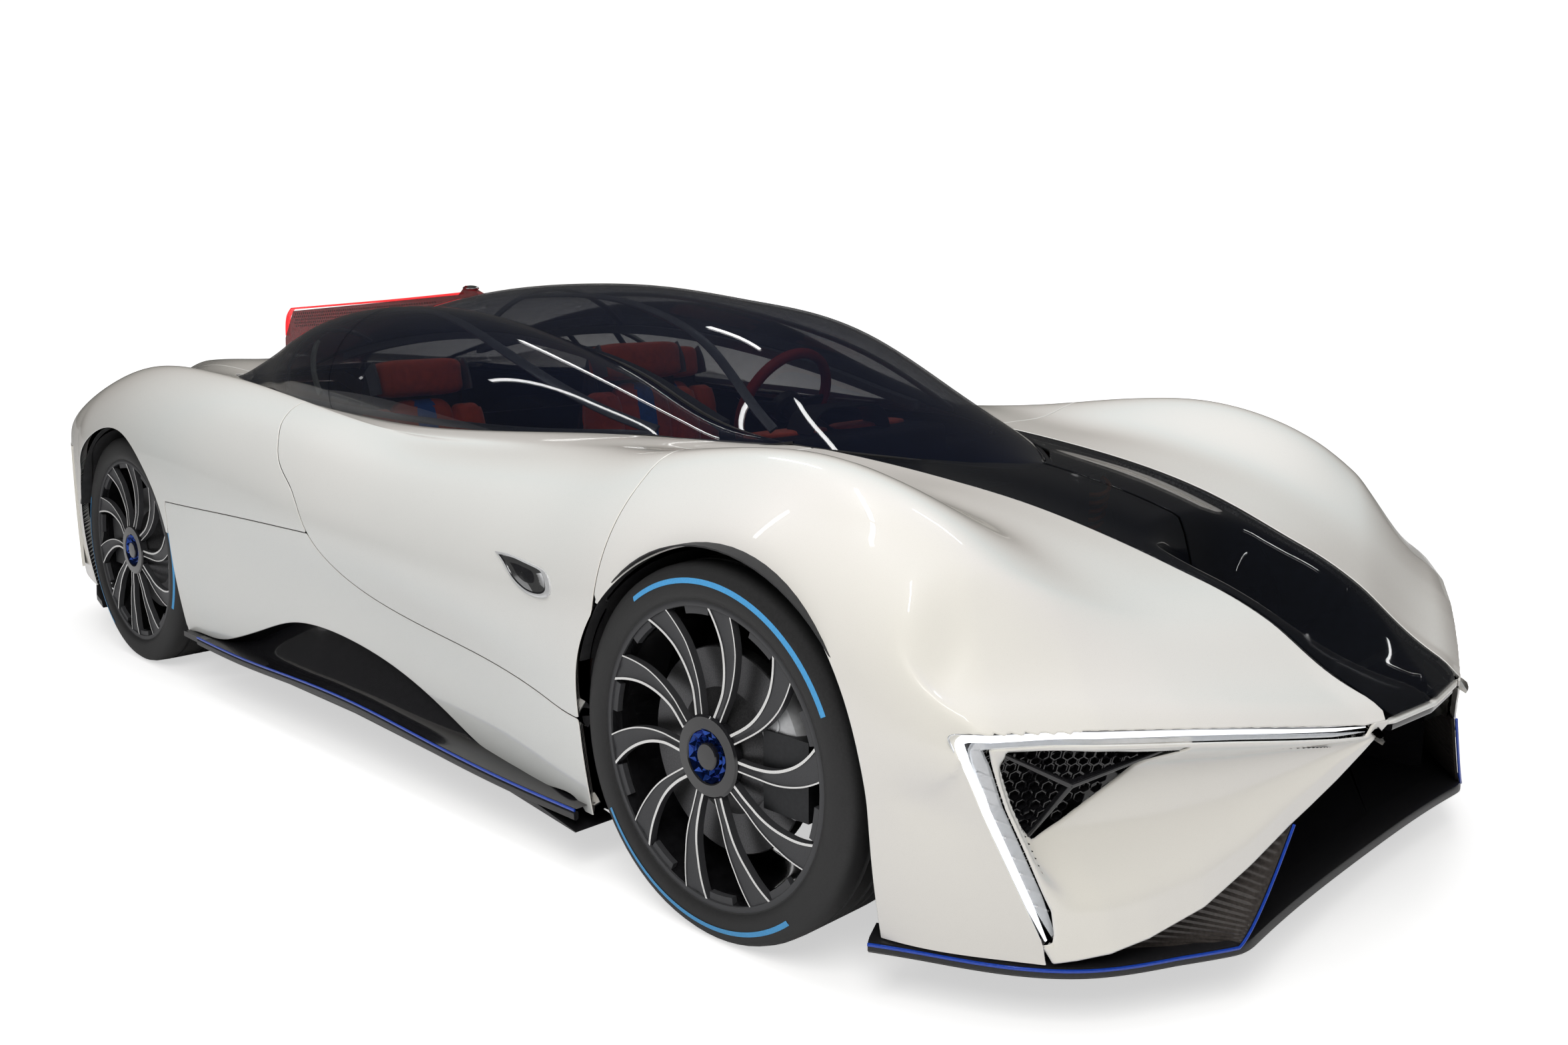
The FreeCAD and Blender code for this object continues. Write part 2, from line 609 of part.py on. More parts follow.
front_y = "(" + FRONT_EXPR + ")"
rear_y = "(" + REAR_EXPR + ")"
cabin_start = front_y + " + 470"
cabin_length = "sizes.wheelbase - 470 - 420"
joined(
    "tub",
    bound_box("floor", "2 * sizes.tub_half_width", cabin_length, "sizes.floor_thickness",
              "-sizes.tub_half_width", cabin_start, "sizes.floor_height"),
    bound_box("left_sill", "sizes.tub_wall * 2.5", cabin_length, "sizes.sill_height - sizes.floor_height",
              "sizes.tub_half_width - sizes.tub_wall * 2.5", cabin_start, "sizes.floor_height"),
    bound_box("right_sill", "sizes.tub_wall * 2.5", cabin_length, "sizes.sill_height - sizes.floor_height",
              "-sizes.tub_half_width", cabin_start, "sizes.floor_height"),
    bound_box("front_bulkhead", 1040, 30, 590, -520, cabin_start, "sizes.floor_height"),
    bound_box("rear_bulkhead", 1360, 30, 660, -680, rear_y + " - 450", "sizes.floor_height"),
    bound_box("nose_floor", "2 * sizes.nose_box_half_width", 1010, 30, "-sizes.nose_box_half_width",
              front_y + " - 540", "sizes.floor_height"),
    bound_box("nose_wall_left", 25, 1010, 390, "sizes.nose_box_half_width - 25", front_y + " - 540",
              "sizes.floor_height"),
    bound_box("nose_wall_right", 25, 1010, 390, "-sizes.nose_box_half_width", front_y + " - 540",
              "sizes.floor_height"),
    bound_box("tower_left", 50, 90, 300, 130, front_y + " - 75", 490),
    bound_box("tower_right", 50, 90, 300, -180, front_y + " - 75", 490),
    bound_box("tower_beam", 540, 90, 30, "-sizes.nose_box_half_width", front_y + " - 75", 470),
    bound_box("top_mount_left", 150, 90, 14, 130, front_y + " - 75", 778),
    bound_box("top_mount_right", 150, 90, 14, -280, front_y + " - 75", 778),
    bound_box("rear_floor", 760, 850, 30, -380, rear_y + " - 420", 140),
    bound_box("rear_rail_left", 40, 850, 160, 340, rear_y + " - 420", 170),
    bound_box("rear_rail_right", 40, 850, 160, -380, rear_y + " - 420", 170),
    *[bound_box("rear_tower_%d" % number, 40, 70, 150, x, rear_y + y, 330)
      for number, (x, y) in enumerate([(340, " - 190"), (340, " + 120"), (-380, " - 190"), (-380, " + 120")])],
)

bound("Part::Box", "powerplant", Length="sizes.powerplant_width", Width="sizes.powerplant_length",
      Height="sizes.powerplant_height", x="-sizes.powerplant_width / 2", y=rear_y + " - 360", z=170)
publish("powerplant", DOC.getObject("powerplant"))

UNDERTRAY = [(0, "front", -380), (560, "front", -380), (560, "front", 420), (860, "front", 420), (860, "rear", -420),
             (560, "rear", -420), (560, "rear", 430), (0, "rear", 430)]
tray = plan_prism([(x, AXLE[axle] + back) for x, axle, back in UNDERTRAY], BLADE, FLOOR)
feature("undertray", tray.fuse(mirrored(tray)))


# Sketches: every corner is held by two dimensions from the sketch's own origin, each bound to the sheet.
def origin_item(body, role):
    """A plane or axis of the body's own origin."""
    return next(item for item in body.Origin.OriginFeatures if item.Role == role)


def evaluate(text):
    """The value of an expression of sheet sizes."""
    probe = DOC.getObject("probe") or DOC.addObject("App::FeaturePython", "probe")
    if not hasattr(probe, "Result"):
        probe.addProperty("App::PropertyFloat", "Result")
    probe.setExpression("Result", text)
    probe.recompute()
    return probe.Result


def outline_sketch(body, name, plane, corners):
    """A closed sketch of straight lines; corners are pairs of expressions."""
    sketch = body.newObject("Sketcher::SketchObject", name)
    sketch.AttachmentSupport = [(origin_item(body, plane), "")]
    sketch.MapMode = "FlatFace"
    points = [(evaluate(across), evaluate(up)) for across, up in corners]
    count = len(points)
    for index, (across, up) in enumerate(points):
        following = points[(index + 1) % count]
        sketch.addGeometry(Part.LineSegment(Vector(across, up, 0), Vector(following[0], following[1], 0)))
    for index in range(count):
        sketch.addConstraint(Sketcher.Constraint("Coincident", index, 2, (index + 1) % count, 1))
    for index, (across, up) in enumerate(corners):
        for kind, text, value in (("DistanceX", across, points[index][0]), ("DistanceY", up, points[index][1])):
            number = sketch.addConstraint(Sketcher.Constraint(kind, -1, 1, index, 1, value))
            sketch.setExpression("Constraints[%d]" % number, text)
    return sketch


def turned_body(name, corners):
    """A body of revolution about its own X axis, from (along, radius) corners."""
    body = DOC.addObject("PartDesign::Body", name)
    sketch = outline_sketch(body, name + "_profile", "XY_Plane", corners)
    DOC.recompute()
    turn = body.newObject("PartDesign::Revolution", name + "_turn")
    turn.Profile = sketch
    turn.ReferenceAxis = (sketch, ["H_Axis"])
    turn.Angle = 360
    DOC.recompute()
    return body


def wheel_pair(axle, radius_alias, width_alias, face_alias, axle_y):
    """Tyre and rim of the left wheel of one axle, and their twins on the right."""
    half = "sizes.%s / 2" % width_alias
    outer = "sizes.%s" % radius_alias
    bead = "sizes.bead_radius"
    hub = "sizes.%s - sizes.%s / 2" % (face_alias, width_alias)
    lip = "%s + sizes.rim_lip" % bead
    tyre_profile = [
        ("-%s + 8" % half, bead), ("-%s + 8" % half, lip), ("-%s" % half, "%s + 30" % bead),
        ("-%s" % half, "%s - 36" % outer),
        ("-%s + 22" % half, "%s - 6" % outer), ("-%s + 40" % half, outer), ("%s - 40" % half, outer),
        ("%s - 22" % half, "%s - 6" % outer), (half, "%s - 36" % outer), (half, "%s + 30" % bead),
        ("%s - 8" % half, lip), ("%s - 8" % half, bead)]
    tyre = turned_body("tyre_%s_left" % axle, tyre_profile)
    inside = "%s - sizes.rim_wall" % bead
    face = "%s - 14" % half
    back = "%s - sizes.spoke_depth" % face
    hub_bore = "sizes.stub_radius"
    disc_back = "40"
    disc_front = "40 + sizes.disc_thickness"
    rim_profile = [
        ("-%s + 1" % half, lip), ("-%s + 8" % half, lip), ("-%s + 8" % half, bead), ("%s - 8" % half, bead),
        ("%s - 8" % half, lip), ("%s - 1" % half, lip), ("%s - 1" % half, "%s - 3" % lip),
        ("%s - 13" % half, inside), ("-%s + 13" % half, inside), ("-%s + 1" % half, "%s - 3" % lip)]
    hub_profile = [
        ("20", "0"), ("20", "sizes.hub_radius - 12"), (disc_back, "sizes.hub_radius - 12"),
        (disc_back, "sizes.disc_radius"), (disc_front, "sizes.disc_radius"), (disc_front, "sizes.hub_radius"),
        (face, "sizes.hub_radius"), ("%s + 4" % face, "sizes.hub_radius - 8"), ("%s + 4" % face, "0")]
    stub_profile = [("-70", "0"), ("-70", hub_bore), ("20", hub_bore), ("20", "0")]
    if axle == "rear":
        shaft_end = "sizes.powerplant_width / 2 + 6 - (%s)" % hub
        stub_profile = [(shaft_end, "0"), (shaft_end, "20"), ("-70", "20")] + stub_profile[1:]
    rim = turned_body("rim_%s" % axle, rim_profile)
    blade = blade_body("spokes_%s" % axle, back, face)
    centre = turned_body("hub_%s" % axle, hub_profile)
    stub = turned_body("stub_%s" % axle, stub_profile)
    wheel = DOC.addObject("Part::MultiFuse", "wheel_%s_left" % axle)
    wheel.Shapes = [rim, blade, centre, stub]
    for item in (tyre, wheel):
        item.setExpression("Placement.Base.x", hub)
        item.setExpression("Placement.Base.y", axle_y)
        item.setExpression("Placement.Base.z", outer)
        DOC.recompute()
        twin = DOC.addObject("Part::Mirroring", item.Name.replace("left", "right"))
        twin.Source = item
        twin.Normal = Vector(1, 0, 0)
        publish(item.Name, item)
        publish(twin.Name, twin)


def blade_body(name, back, face):
    """The swept spokes: one curved blade pushed out to the wheel's face, repeated around the hub."""
    body = DOC.addObject("PartDesign::Body", name)
    sketch = body.newObject("Sketcher::SketchObject", name + "_blade")
    sketch.AttachmentSupport = [(origin_item(body, "YZ_Plane"), "")]
    sketch.MapMode = "FlatFace"
    inner = size("hub_radius") - 6
    outer = size("bead_radius") - size("rim_wall") + 3
    half = size("spoke_width") / 2
    swing = math.radians(24)

    def at(radius, angle, aside):
        return Vector(radius * math.cos(angle) - aside * math.sin(angle),
                      radius * math.sin(angle) + aside * math.cos(angle), 0)

    middle = (inner + outer) / 2
    low_edge = [at(inner, 0, -half * 0.5), at(middle, swing * 0.30, -half), at(outer, swing, -half)]
    high_edge = [at(outer, swing, half), at(middle, swing * 0.30, half), at(inner, 0, half * 0.5)]
    sketch.addGeometry(Part.Arc(*low_edge))
    sketch.addGeometry(Part.LineSegment(low_edge[2], high_edge[0]))
    sketch.addGeometry(Part.Arc(*high_edge))
    sketch.addGeometry(Part.LineSegment(high_edge[2], low_edge[0]))
    sketch.AttachmentOffset = Placement(Vector(0, 0, evaluate(back)), Rotation())
    sketch.setExpression("AttachmentOffset.Base.z", back)
    DOC.recompute()
    pad = body.newObject("PartDesign::Pad", name + "_pad")
    pad.Profile = sketch
    pad.setExpression("Length", "sizes.spoke_depth")
    DOC.recompute()
    pattern = body.newObject("PartDesign::PolarPattern", name + "_pattern")
    pattern.Originals = [pad]
    pattern.Axis = (origin_item(body, "X_Axis"), [""])
    pattern.Angle = 360
    pattern.setExpression("Occurrences", "sizes.spoke_count")
    body.Tip = pattern
    DOC.recompute()
    return body


wheel_pair("front", "tyre_radius_front", "tyre_width_front", "tyre_face_front", front_y)
wheel_pair("rear", "tyre_radius_rear", "tyre_width_rear", "tyre_face_rear", rear_y)

# Uprights: the front ones steer on kingpins, the rear ones are fixed to their arms. Distances are from the middle
# of the tyre, outwards.
STUB = size("stub_radius")
DISC = size("disc_radius")
DISC_BACK = 40
DISC_FRONT = DISC_BACK + size("disc_thickness")
CLEAR = size("caliper_clearance")
UPRIGHT_HALF = 118
ARM_LEVEL = 140


def upright(hub_x, hub_y, hub_z, caliper_side, spoke_back):
    """Hub carrier with its caliper, on the left."""
    body = block((hub_x - 60, hub_y - 50, hub_z - UPRIGHT_HALF), (hub_x + 14, hub_y + 50, hub_z + UPRIGHT_HALF))
    outer_wall = spoke_back - CLEAR
    near, far = sorted((hub_y + caliper_side * 120, hub_y + caliper_side * 232))
    caliper = block((hub_x + 18, near, hub_z - 75), (hub_x + outer_wall, far, hub_z + 75))
    slot = rod((hub_x + DISC_BACK - CLEAR, hub_y, hub_z), (hub_x + DISC_FRONT + CLEAR, hub_y, hub_z), DISC + CLEAR)
    near, far = sorted((hub_y + caliper_side * 40, hub_y + caliper_side * 190))
    bracket = block((hub_x - 12, near, hub_z - 40), (hub_x + 14, far, hub_z + 40))
    near, far = sorted((hub_y + caliper_side * 130, hub_y + caliper_side * 190))
    ear = block((hub_x + 10, near, hub_z - 40), (hub_x + 22, far, hub_z + 40))
    bore = rod((hub_x - 61, hub_y, hub_z), (hub_x + 15, hub_y, hub_z), STUB + PLAY)
    return body.fuse([caliper.cut(slot), bracket, ear]).cut(bore)


FRONT_HUB_X = size("tyre_face_front") - size("tyre_width_front") / 2
REAR_HUB_X = size("tyre_face_rear") - size("tyre_width_rear") / 2
FRONT_HUB_Z = size("tyre_radius_front")
REAR_HUB_Z = size("tyre_radius_rear")
KINGPIN_X = FRONT_HUB_X - size("kingpin_inset")
KINGPIN_R = size("kingpin_radius")
FRONT_SPOKE_BACK = size("tyre_width_front") / 2 - 14 - size("spoke_depth")
REAR_SPOKE_BACK = size("tyre_width_rear") / 2 - 14 - size("spoke_depth")

knuckle = upright(FRONT_HUB_X, FRONT, FRONT_HUB_Z, -1, FRONT_SPOKE_BACK)
pins = [rod((KINGPIN_X, FRONT, FRONT_HUB_Z + side * (UPRIGHT_HALF - 2)),
            (KINGPIN_X, FRONT, FRONT_HUB_Z + side * (ARM_LEVEL + 16)), KINGPIN_R) for side in (-1, 1)]
knuckle = knuckle.fuse(pins)
feature("knuckle_left", knuckle)
feature("knuckle_right", mirrored(knuckle))

BOX_X = size("nose_box_half_width")
ARM_R = 13


def wishbone(inner_x, hub_x, hub_y, level, inner_level, spread, eye):
    """Two bars from the frame to one point of the upright; eye is the radius of the ring round the kingpin."""
    bars = [rod((inner_x - 12, hub_y + side * spread, inner_level), (hub_x, hub_y, level), ARM_R) for side in (-1, 1)]
    arm = bars[0].fuse(bars[1])
    if eye:
        arm = arm.fuse(rod((hub_x, hub_y, level - 10), (hub_x, hub_y, level + 10), eye + 14))
        arm = arm.cut(rod((hub_x, hub_y, level - 40), (hub_x, hub_y, level + 40), eye + PLAY))
    return arm.cut(block((0, hub_y - 600, 0), (inner_x, hub_y + 600, ROOF)))


lower = wishbone(BOX_X, KINGPIN_X, FRONT, FRONT_HUB_Z - ARM_LEVEL, 240, 150, KINGPIN_R)
upper = wishbone(BOX_X, KINGPIN_X, FRONT, FRONT_HUB_Z + ARM_LEVEL, 470, 130, KINGPIN_R)
damper_foot = (430, FRONT - 20, 246)
damper_head = (240, FRONT - 30, 784)
cross_bar = rod((430, FRONT - 109, 236), (430, FRONT + 109, 236), 12)
damper = rod(damper_foot, damper_head, 15)
spring_low = tuple(damper_foot[k] + 0.34 * (damper_head[k] - damper_foot[k]) for k in range(3))
spring_high = tuple(damper_foot[k] + 0.95 * (damper_head[k] - damper_foot[k]) for k in range(3))
spring = rod(spring_low, spring_high, 44)
coilover = lower.fuse([cross_bar, damper, spring]).cut(block((0, FRONT - 200, 778), (400, FRONT + 200, 900)))
feature("front_suspension", *both(coilover), *both(upper))

carrier = upright(REAR_HUB_X, REAR, REAR_HUB_Z, 1, REAR_SPOKE_BACK)
rear_lower = wishbone(380, REAR_HUB_X - 40, REAR, REAR_HUB_Z - 105, 260, 160, 0)
rear_upper = wishbone(380, REAR_HUB_X - 40, REAR, REAR_HUB_Z + 105, 440, 150, 0)
rear_arms = rear_lower.fuse(rear_upper).cut(carrier).cut(
    rod((REAR_HUB_X - 90, REAR, REAR_HUB_Z), (REAR_HUB_X + 20, REAR, REAR_HUB_Z), STUB + CLEAR))
feature("rear_suspension", *both(carrier.fuse(rear_arms)))

# Cabin.
dash = block((-330, FRONT + 470, 700), (330, FRONT + 640, 850)).fuse(
    block((-600, FRONT + 470, 700), (600, FRONT + 620, 790)))
dash = dash.makeFillet(18, [edge for edge in dash.Edges if abs(edge.tangentAt(edge.FirstParameter).x) > 0.99])
column_tilt = math.radians(25)
WHEEL_CENTRE = Vector(0, FRONT + 760, 905)
COLUMN_AXIS = Vector(0, math.cos(column_tilt), math.sin(column_tilt))
column_start = WHEEL_CENTRE - COLUMN_AXIS * 190
column_end = WHEEL_CENTRE - COLUMN_AXIS * 26
SHAFT_R = 10
column = Part.makeCylinder(26, 164, column_start, COLUMN_AXIS).cut(
    Part.makeCylinder(SHAFT_R + PLAY, 100, column_end - COLUMN_AXIS * 60, COLUMN_AXIS))
feature("dashboard", dash)
feature("steering_column", column.cut(dash))

wheel_parts = [
    bound("Part::Torus", "steering_rim", Radius1="sizes.steering_wheel_radius - sizes.steering_rim_radius",
          Radius2="sizes.steering_rim_radius"),
    bound("Part::Cylinder", "steering_hub", Radius=44, Height=26, z=-20),
    bound("Part::Cylinder", "steering_shaft", Radius=SHAFT_R, Height=60, z=-78),
    bound("Part::Box", "steering_bar", Length="2 * sizes.steering_wheel_radius - 2 * sizes.steering_rim_radius",
          Width=30, Height=12, x="-sizes.steering_wheel_radius + sizes.steering_rim_radius", y=-15, z=-12),
    bound("Part::Box", "steering_drop", Length=26, Width="sizes.steering_wheel_radius - sizes.steering_rim_radius",
          Height=12, x=-13, y="-sizes.steering_wheel_radius + sizes.steering_rim_radius", z=-12),
]
steering_wheel = joined("steering_wheel", *wheel_parts)
steering_wheel.Placement = Placement(WHEEL_CENTRE, Rotation(Vector(0, 0, 1), COLUMN_AXIS))


def seat_body(name, top, back_offset):
    """One seat, standing on the floor: cushion and back from a side profile, then a narrower headrest."""
    body = DOC.addObject("PartDesign::Body", name)
    shoulder = "%s - 155" % top
    profile = [("0", "0"), ("-20", "215"), ("20", "235"), ("300", "165"), ("372", "%s - 350" % top),
               ("392", shoulder), ("480", shoulder), ("470", "%s - 395" % top), ("400", "60"), ("380", "0")]
    rest = [("389", "%s - 10" % shoulder), ("372", "%s - 12" % top), ("470", top), ("484", "%s - 10" % shoulder)]
    for part, corners, width in (("back", profile, "sizes.seat_width"), ("rest", rest, "sizes.seat_width * 0.7")):
        sketch = outline_sketch(body, name + "_" + part, "YZ_Plane", corners)
        DOC.recompute()
        pad = body.newObject("PartDesign::Pad", name + "_" + part + "_pad")
        pad.Profile = sketch
        pad.Midplane = True
        pad.setExpression("Length", width)
        DOC.recompute()
    body.setExpression("Placement.Base.y", front_y + " + %d" % back_offset)
    body.setExpression("Placement.Base.z", "sizes.floor_height + sizes.floor_thickness")
    return body


publish("driver_seat", seat_body("driver_seat", "915", 950))
passenger = seat_body("passenger_seat", "870", 1380)
passenger.setExpression("Placement.Base.x", "sizes.passenger_spacing")
DOC.recompute()
passenger_twin = DOC.addObject("Part::Mirroring", "passenger_twin")
passenger_twin.Source = passenger
passenger_twin.Normal = Vector(1, 0, 0)
passengers = DOC.addObject("Part::Compound", "passenger_seats")
passengers.Links = [passenger, passenger_twin]
publish("passenger_seats", passengers)
DOC.recompute()

for item in DOC.Objects:
    if "Invalid" in item.State or "Error" in item.State:
        raise RuntimeError("%s did not recompute: %s" % (item.Label, item.State))
for item in PARTS:
    shape = item.Shape
    if shape.isNull() or not shape.isValid() or not shape.Solids:
        raise RuntimeError("%s has no sound solid" % item.Label)
os.makedirs("parts", exist_ok=True)
for item in PARTS:
    item.Shape.exportStep(os.path.join("parts", item.Label + ".step"))
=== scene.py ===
import math

import bpy
import numpy as np
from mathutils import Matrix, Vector


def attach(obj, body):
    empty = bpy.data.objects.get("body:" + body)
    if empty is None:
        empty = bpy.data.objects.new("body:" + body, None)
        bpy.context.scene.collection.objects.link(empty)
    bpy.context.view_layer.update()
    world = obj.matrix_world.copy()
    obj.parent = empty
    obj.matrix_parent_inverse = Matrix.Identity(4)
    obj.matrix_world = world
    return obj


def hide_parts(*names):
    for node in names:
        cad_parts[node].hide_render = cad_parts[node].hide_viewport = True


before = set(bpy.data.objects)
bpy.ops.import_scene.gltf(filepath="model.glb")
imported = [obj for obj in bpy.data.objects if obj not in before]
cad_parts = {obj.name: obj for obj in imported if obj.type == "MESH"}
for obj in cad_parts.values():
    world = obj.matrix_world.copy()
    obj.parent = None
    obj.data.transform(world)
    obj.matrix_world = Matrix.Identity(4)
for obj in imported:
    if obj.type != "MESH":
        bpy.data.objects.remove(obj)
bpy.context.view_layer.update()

# Frame: metres, +Z up, the nose points along -Y, +X is the car's left. Lengths along the car are given in
# millimetres from the front axle, as back.
FRONT = -1.430
REAR = 1.350
MM = 0.001
# axle's place, height of the arch's centre and radius of the arch
ARCHES = [(FRONT, 0.365, 0.390), (REAR, 0.372, 0.400)]


# Numbers and curves

def natural_spline(knots, values, at):
    """Smooth curve through values (rows) at increasing knots, evaluated at the places in at."""
    knots, values, at = np.asarray(knots, float), np.asarray(values, float), np.asarray(at, float)
    flat = values.reshape(len(knots), -1)
    steps = np.diff(knots)
    count = len(knots)
    matrix = np.zeros((count, count))
    right = np.zeros((count, flat.shape[1]))
    matrix[0, 0] = matrix[-1, -1] = 1
    for k in range(1, count - 1):
        matrix[k, k - 1] = steps[k - 1]
        matrix[k, k] = 2 * (steps[k - 1] + steps[k])
        matrix[k, k + 1] = steps[k]
        right[k] = 6 * ((flat[k + 1] - flat[k]) / steps[k] - (flat[k] - flat[k - 1]) / steps[k - 1])
    bend = np.linalg.solve(matrix, right)
    spot = np.clip(np.searchsorted(knots, at, side="right") - 1, 0, count - 2)
    width = steps[spot][:, None]
    after = (knots[spot + 1] - at)[:, None]
    before = (at - knots[spot])[:, None]
    found = (bend[spot] * after ** 3 + bend[spot + 1] * before ** 3) / (6 * width)
    found += (flat[spot] / width - bend[spot] * width / 6) * after
    found += (flat[spot + 1] / width - bend[spot + 1] * width / 6) * before
    return found.reshape((len(at),) + values.shape[1:])


def smooth_line(points, count=80):
    """Evenly sampled smooth line through points."""
    points = np.asarray(points, float)
    along = np.concatenate([[0], np.cumsum(np.linalg.norm(np.diff(points, axis=0), axis=1))])
    return natural_spline(along, points, np.linspace(0, along[-1], count))


def ease(value):
    """Smooth step from 0 to 1."""
    value = np.clip(value, 0, 1)
    return value * value * (3 - 2 * value)


def inside_distance(places, outline):
    """Signed distance from each (a, b) place to a closed outline; positive inside."""
    start = np.asarray(outline, float)
    run = np.roll(start, -1, axis=0) - start
    nearest = np.full(len(places), 1e9)
    crossings = np.zeros(len(places), bool)
    for (ax, ay), (rx, ry) in zip(start, run):
        length = rx * rx + ry * ry
        if length < 1e-16:
            continue
        px, py = places[:, 0] - ax, places[:, 1] - ay
        share = np.clip((px * rx + py * ry) / length, 0, 1)
        nearest = np.minimum(nearest, np.hypot(px - share * rx, py - share * ry))
        spans = (ay > places[:, 1]) != (ay + ry > places[:, 1])
        if abs(ry) > 1e-12:
            crossings ^= spans & (px < rx * py / ry)
    return np.where(crossings, nearest, -nearest)


# Meshes as plain arrays: points (n, 3), triangles (m, 3) and one or more fields per point

def grid_faces(rows, columns):
    """Triangles of a grid of points, row by row."""
    index = np.arange(rows * columns).reshape(rows, columns)
    a, b, c, d = index[:-1, :-1], index[1:, :-1], index[1:, 1:], index[:-1, 1:]
    return np.concatenate([np.stack([a, b, c], -1).reshape(-1, 3), np.stack([a, c, d], -1).reshape(-1, 3)])


def cut_at(data, faces, column, level):
    """Adds points where a field crosses level, so that no triangle straddles it."""
    above = data[:, column] > level
    mixed = above[faces].any(1) & ~above[faces].all(1)
    crossing = faces[mixed]
    if not len(crossing):
        return data, faces
    edges = np.sort(np.concatenate([crossing[:, [0, 1]], crossing[:, [1, 2]], crossing[:, [2, 0]]]), axis=1)
    edges = np.unique(edges[above[edges[:, 0]] != above[edges[:, 1]]], axis=0)
    low, high = data[edges[:, 0]], data[edges[:, 1]]
    share = (level - low[:, column]) / (high[:, column] - low[:, column])
    added = low + share[:, None] * (high - low)
    added[:, column] = level
    number = {tuple(edge): len(data) + k for k, edge in enumerate(edges.tolist())}
    made = []
    for triangle in crossing.tolist():
        for turn in range(3):
            a, b, c = triangle[turn], triangle[(turn + 1) % 3], triangle[(turn + 2) % 3]
            if above[a] != above[b] and above[a] != above[c]:
                ab = number[(min(a, b), max(a, b))]
                ac = number[(min(a, c), max(a, c))]
                made += [(a, ab, ac), (ab, b, c), (ab, c, ac)]
                break
    return np.concatenate([data, added]), np.concatenate([faces[~mixed], np.array(made)])


def keep_above(data, faces, column, level):
    """The part of a mesh whose field is over level."""
    centre = data[faces, column].mean(1)
    faces = faces[centre > level]
    used = np.unique(faces)
    remap = np.full(len(data), -1)
    remap[used] = np.arange(len(used))
    return data[used], remap[faces]


def face_normals(points, faces):
    """Normal of each triangle, as long as twice its area."""
    return np.cross(points[faces[:, 1]] - points[faces[:, 0]], points[faces[:, 2]] - points[faces[:, 0]])


def point_normals(points, faces):
    """Unit normal at each point, from the triangles that meet there."""
    total = np.zeros_like(points)
    normals = face_normals(points, faces)
    for corner in range(3):
        np.add.at(total, faces[:, corner], normals)
    return total / np.maximum(np.linalg.norm(total, axis=1, keepdims=True), 1e-12)


def open_edges(faces):
    """Directed edges that belong to one triangle only."""
    edges = np.concatenate([faces[:, [0, 1]], faces[:, [1, 2]], faces[:, [2, 0]]])
    key = np.sort(edges, axis=1)
    _, first, counts = np.unique(key, axis=0, return_index=True, return_counts=True)
    return edges[first[counts == 1]]


def thick_panel(points, faces, normals, thickness):
    """A closed sheet: outer skin, inner skin and a rim, with the normal of every point."""
    count = len(points)
    inner = points - normals * thickness
    edges = open_edges(faces)
    rim_points = np.concatenate([points[edges[:, 0]], points[edges[:, 1]], inner[edges[:, 0]],
                                 inner[edges[:, 1]]])
    n = len(edges)
    a = np.arange(n) + 2 * count
    b, c, d = a + n, a + 2 * n, a + 3 * n
    rim_faces = np.concatenate([np.stack([b, a, c], -1), np.stack([b, c, d], -1)])
    outward = face_normals(rim_points, rim_faces[:n] - 2 * count)
    outward /= np.maximum(np.linalg.norm(outward, axis=1, keepdims=True), 1e-12)
    all_points = np.concatenate([points, inner, rim_points])
    all_faces = np.concatenate([faces, faces[:, ::-1] + count, rim_faces])
    all_normals = np.concatenate([normals, -normals, outward, outward, outward, outward])
    return all_points, all_faces, all_normals


def dark_inside(points, faces, count):
    """Material index per triangle of a panel: 1 for its inner skin and its rim in a wheel arch, else 0."""
    middle = points[faces].mean(1)
    kind = np.zeros(len(faces), np.int32)
    kind[count:2 * count] = 1
    for axle_y, hub_z, radius in ARCHES:
        gap = np.hypot(middle[:, 1] - axle_y, middle[:, 2] - hub_z) - radius
        beside = np.abs(np.abs(middle[:, 1] - axle_y) - radius)
        near = (np.abs(gap) < 0.010) | ((beside < 0.010) & (middle[:, 2] < hub_z))
        kind[2 * count:][near[2 * count:]] = 1
    return kind


def mesh_object(name, points, faces, normals=None, materials=(), face_material=None, smooth=True):
    """A mesh object from arrays."""
    mesh = bpy.data.meshes.new(name)
    mesh.from_pydata(np.asarray(points).tolist(), [], [list(face) for face in np.asarray(faces).tolist()])
    for material in materials:
        mesh.materials.append(material)
    if face_material is not None:
        mesh.polygons.foreach_set("material_index", np.asarray(face_material, np.int32))
    mesh.polygons.foreach_set("use_smooth", np.full(len(mesh.polygons), smooth))
    if normals is not None:
        mesh.normals_split_custom_set_from_vertices(np.asarray(normals).tolist())
    mesh.update()
    item = bpy.data.objects.new(name, mesh)
    bpy.context.scene.collection.objects.link(item)
    return item


SIDES = (("left", 1), ("right", -1))


def two_sided(points, normals, faces, side):
    """The same mesh on the side asked for; side is 1 for the left and -1 for the right."""
    if side > 0:
        return points, normals, faces
    flip = np.array([-1, 1, 1])
    return points * flip, normals * flip, faces[:, ::-1]


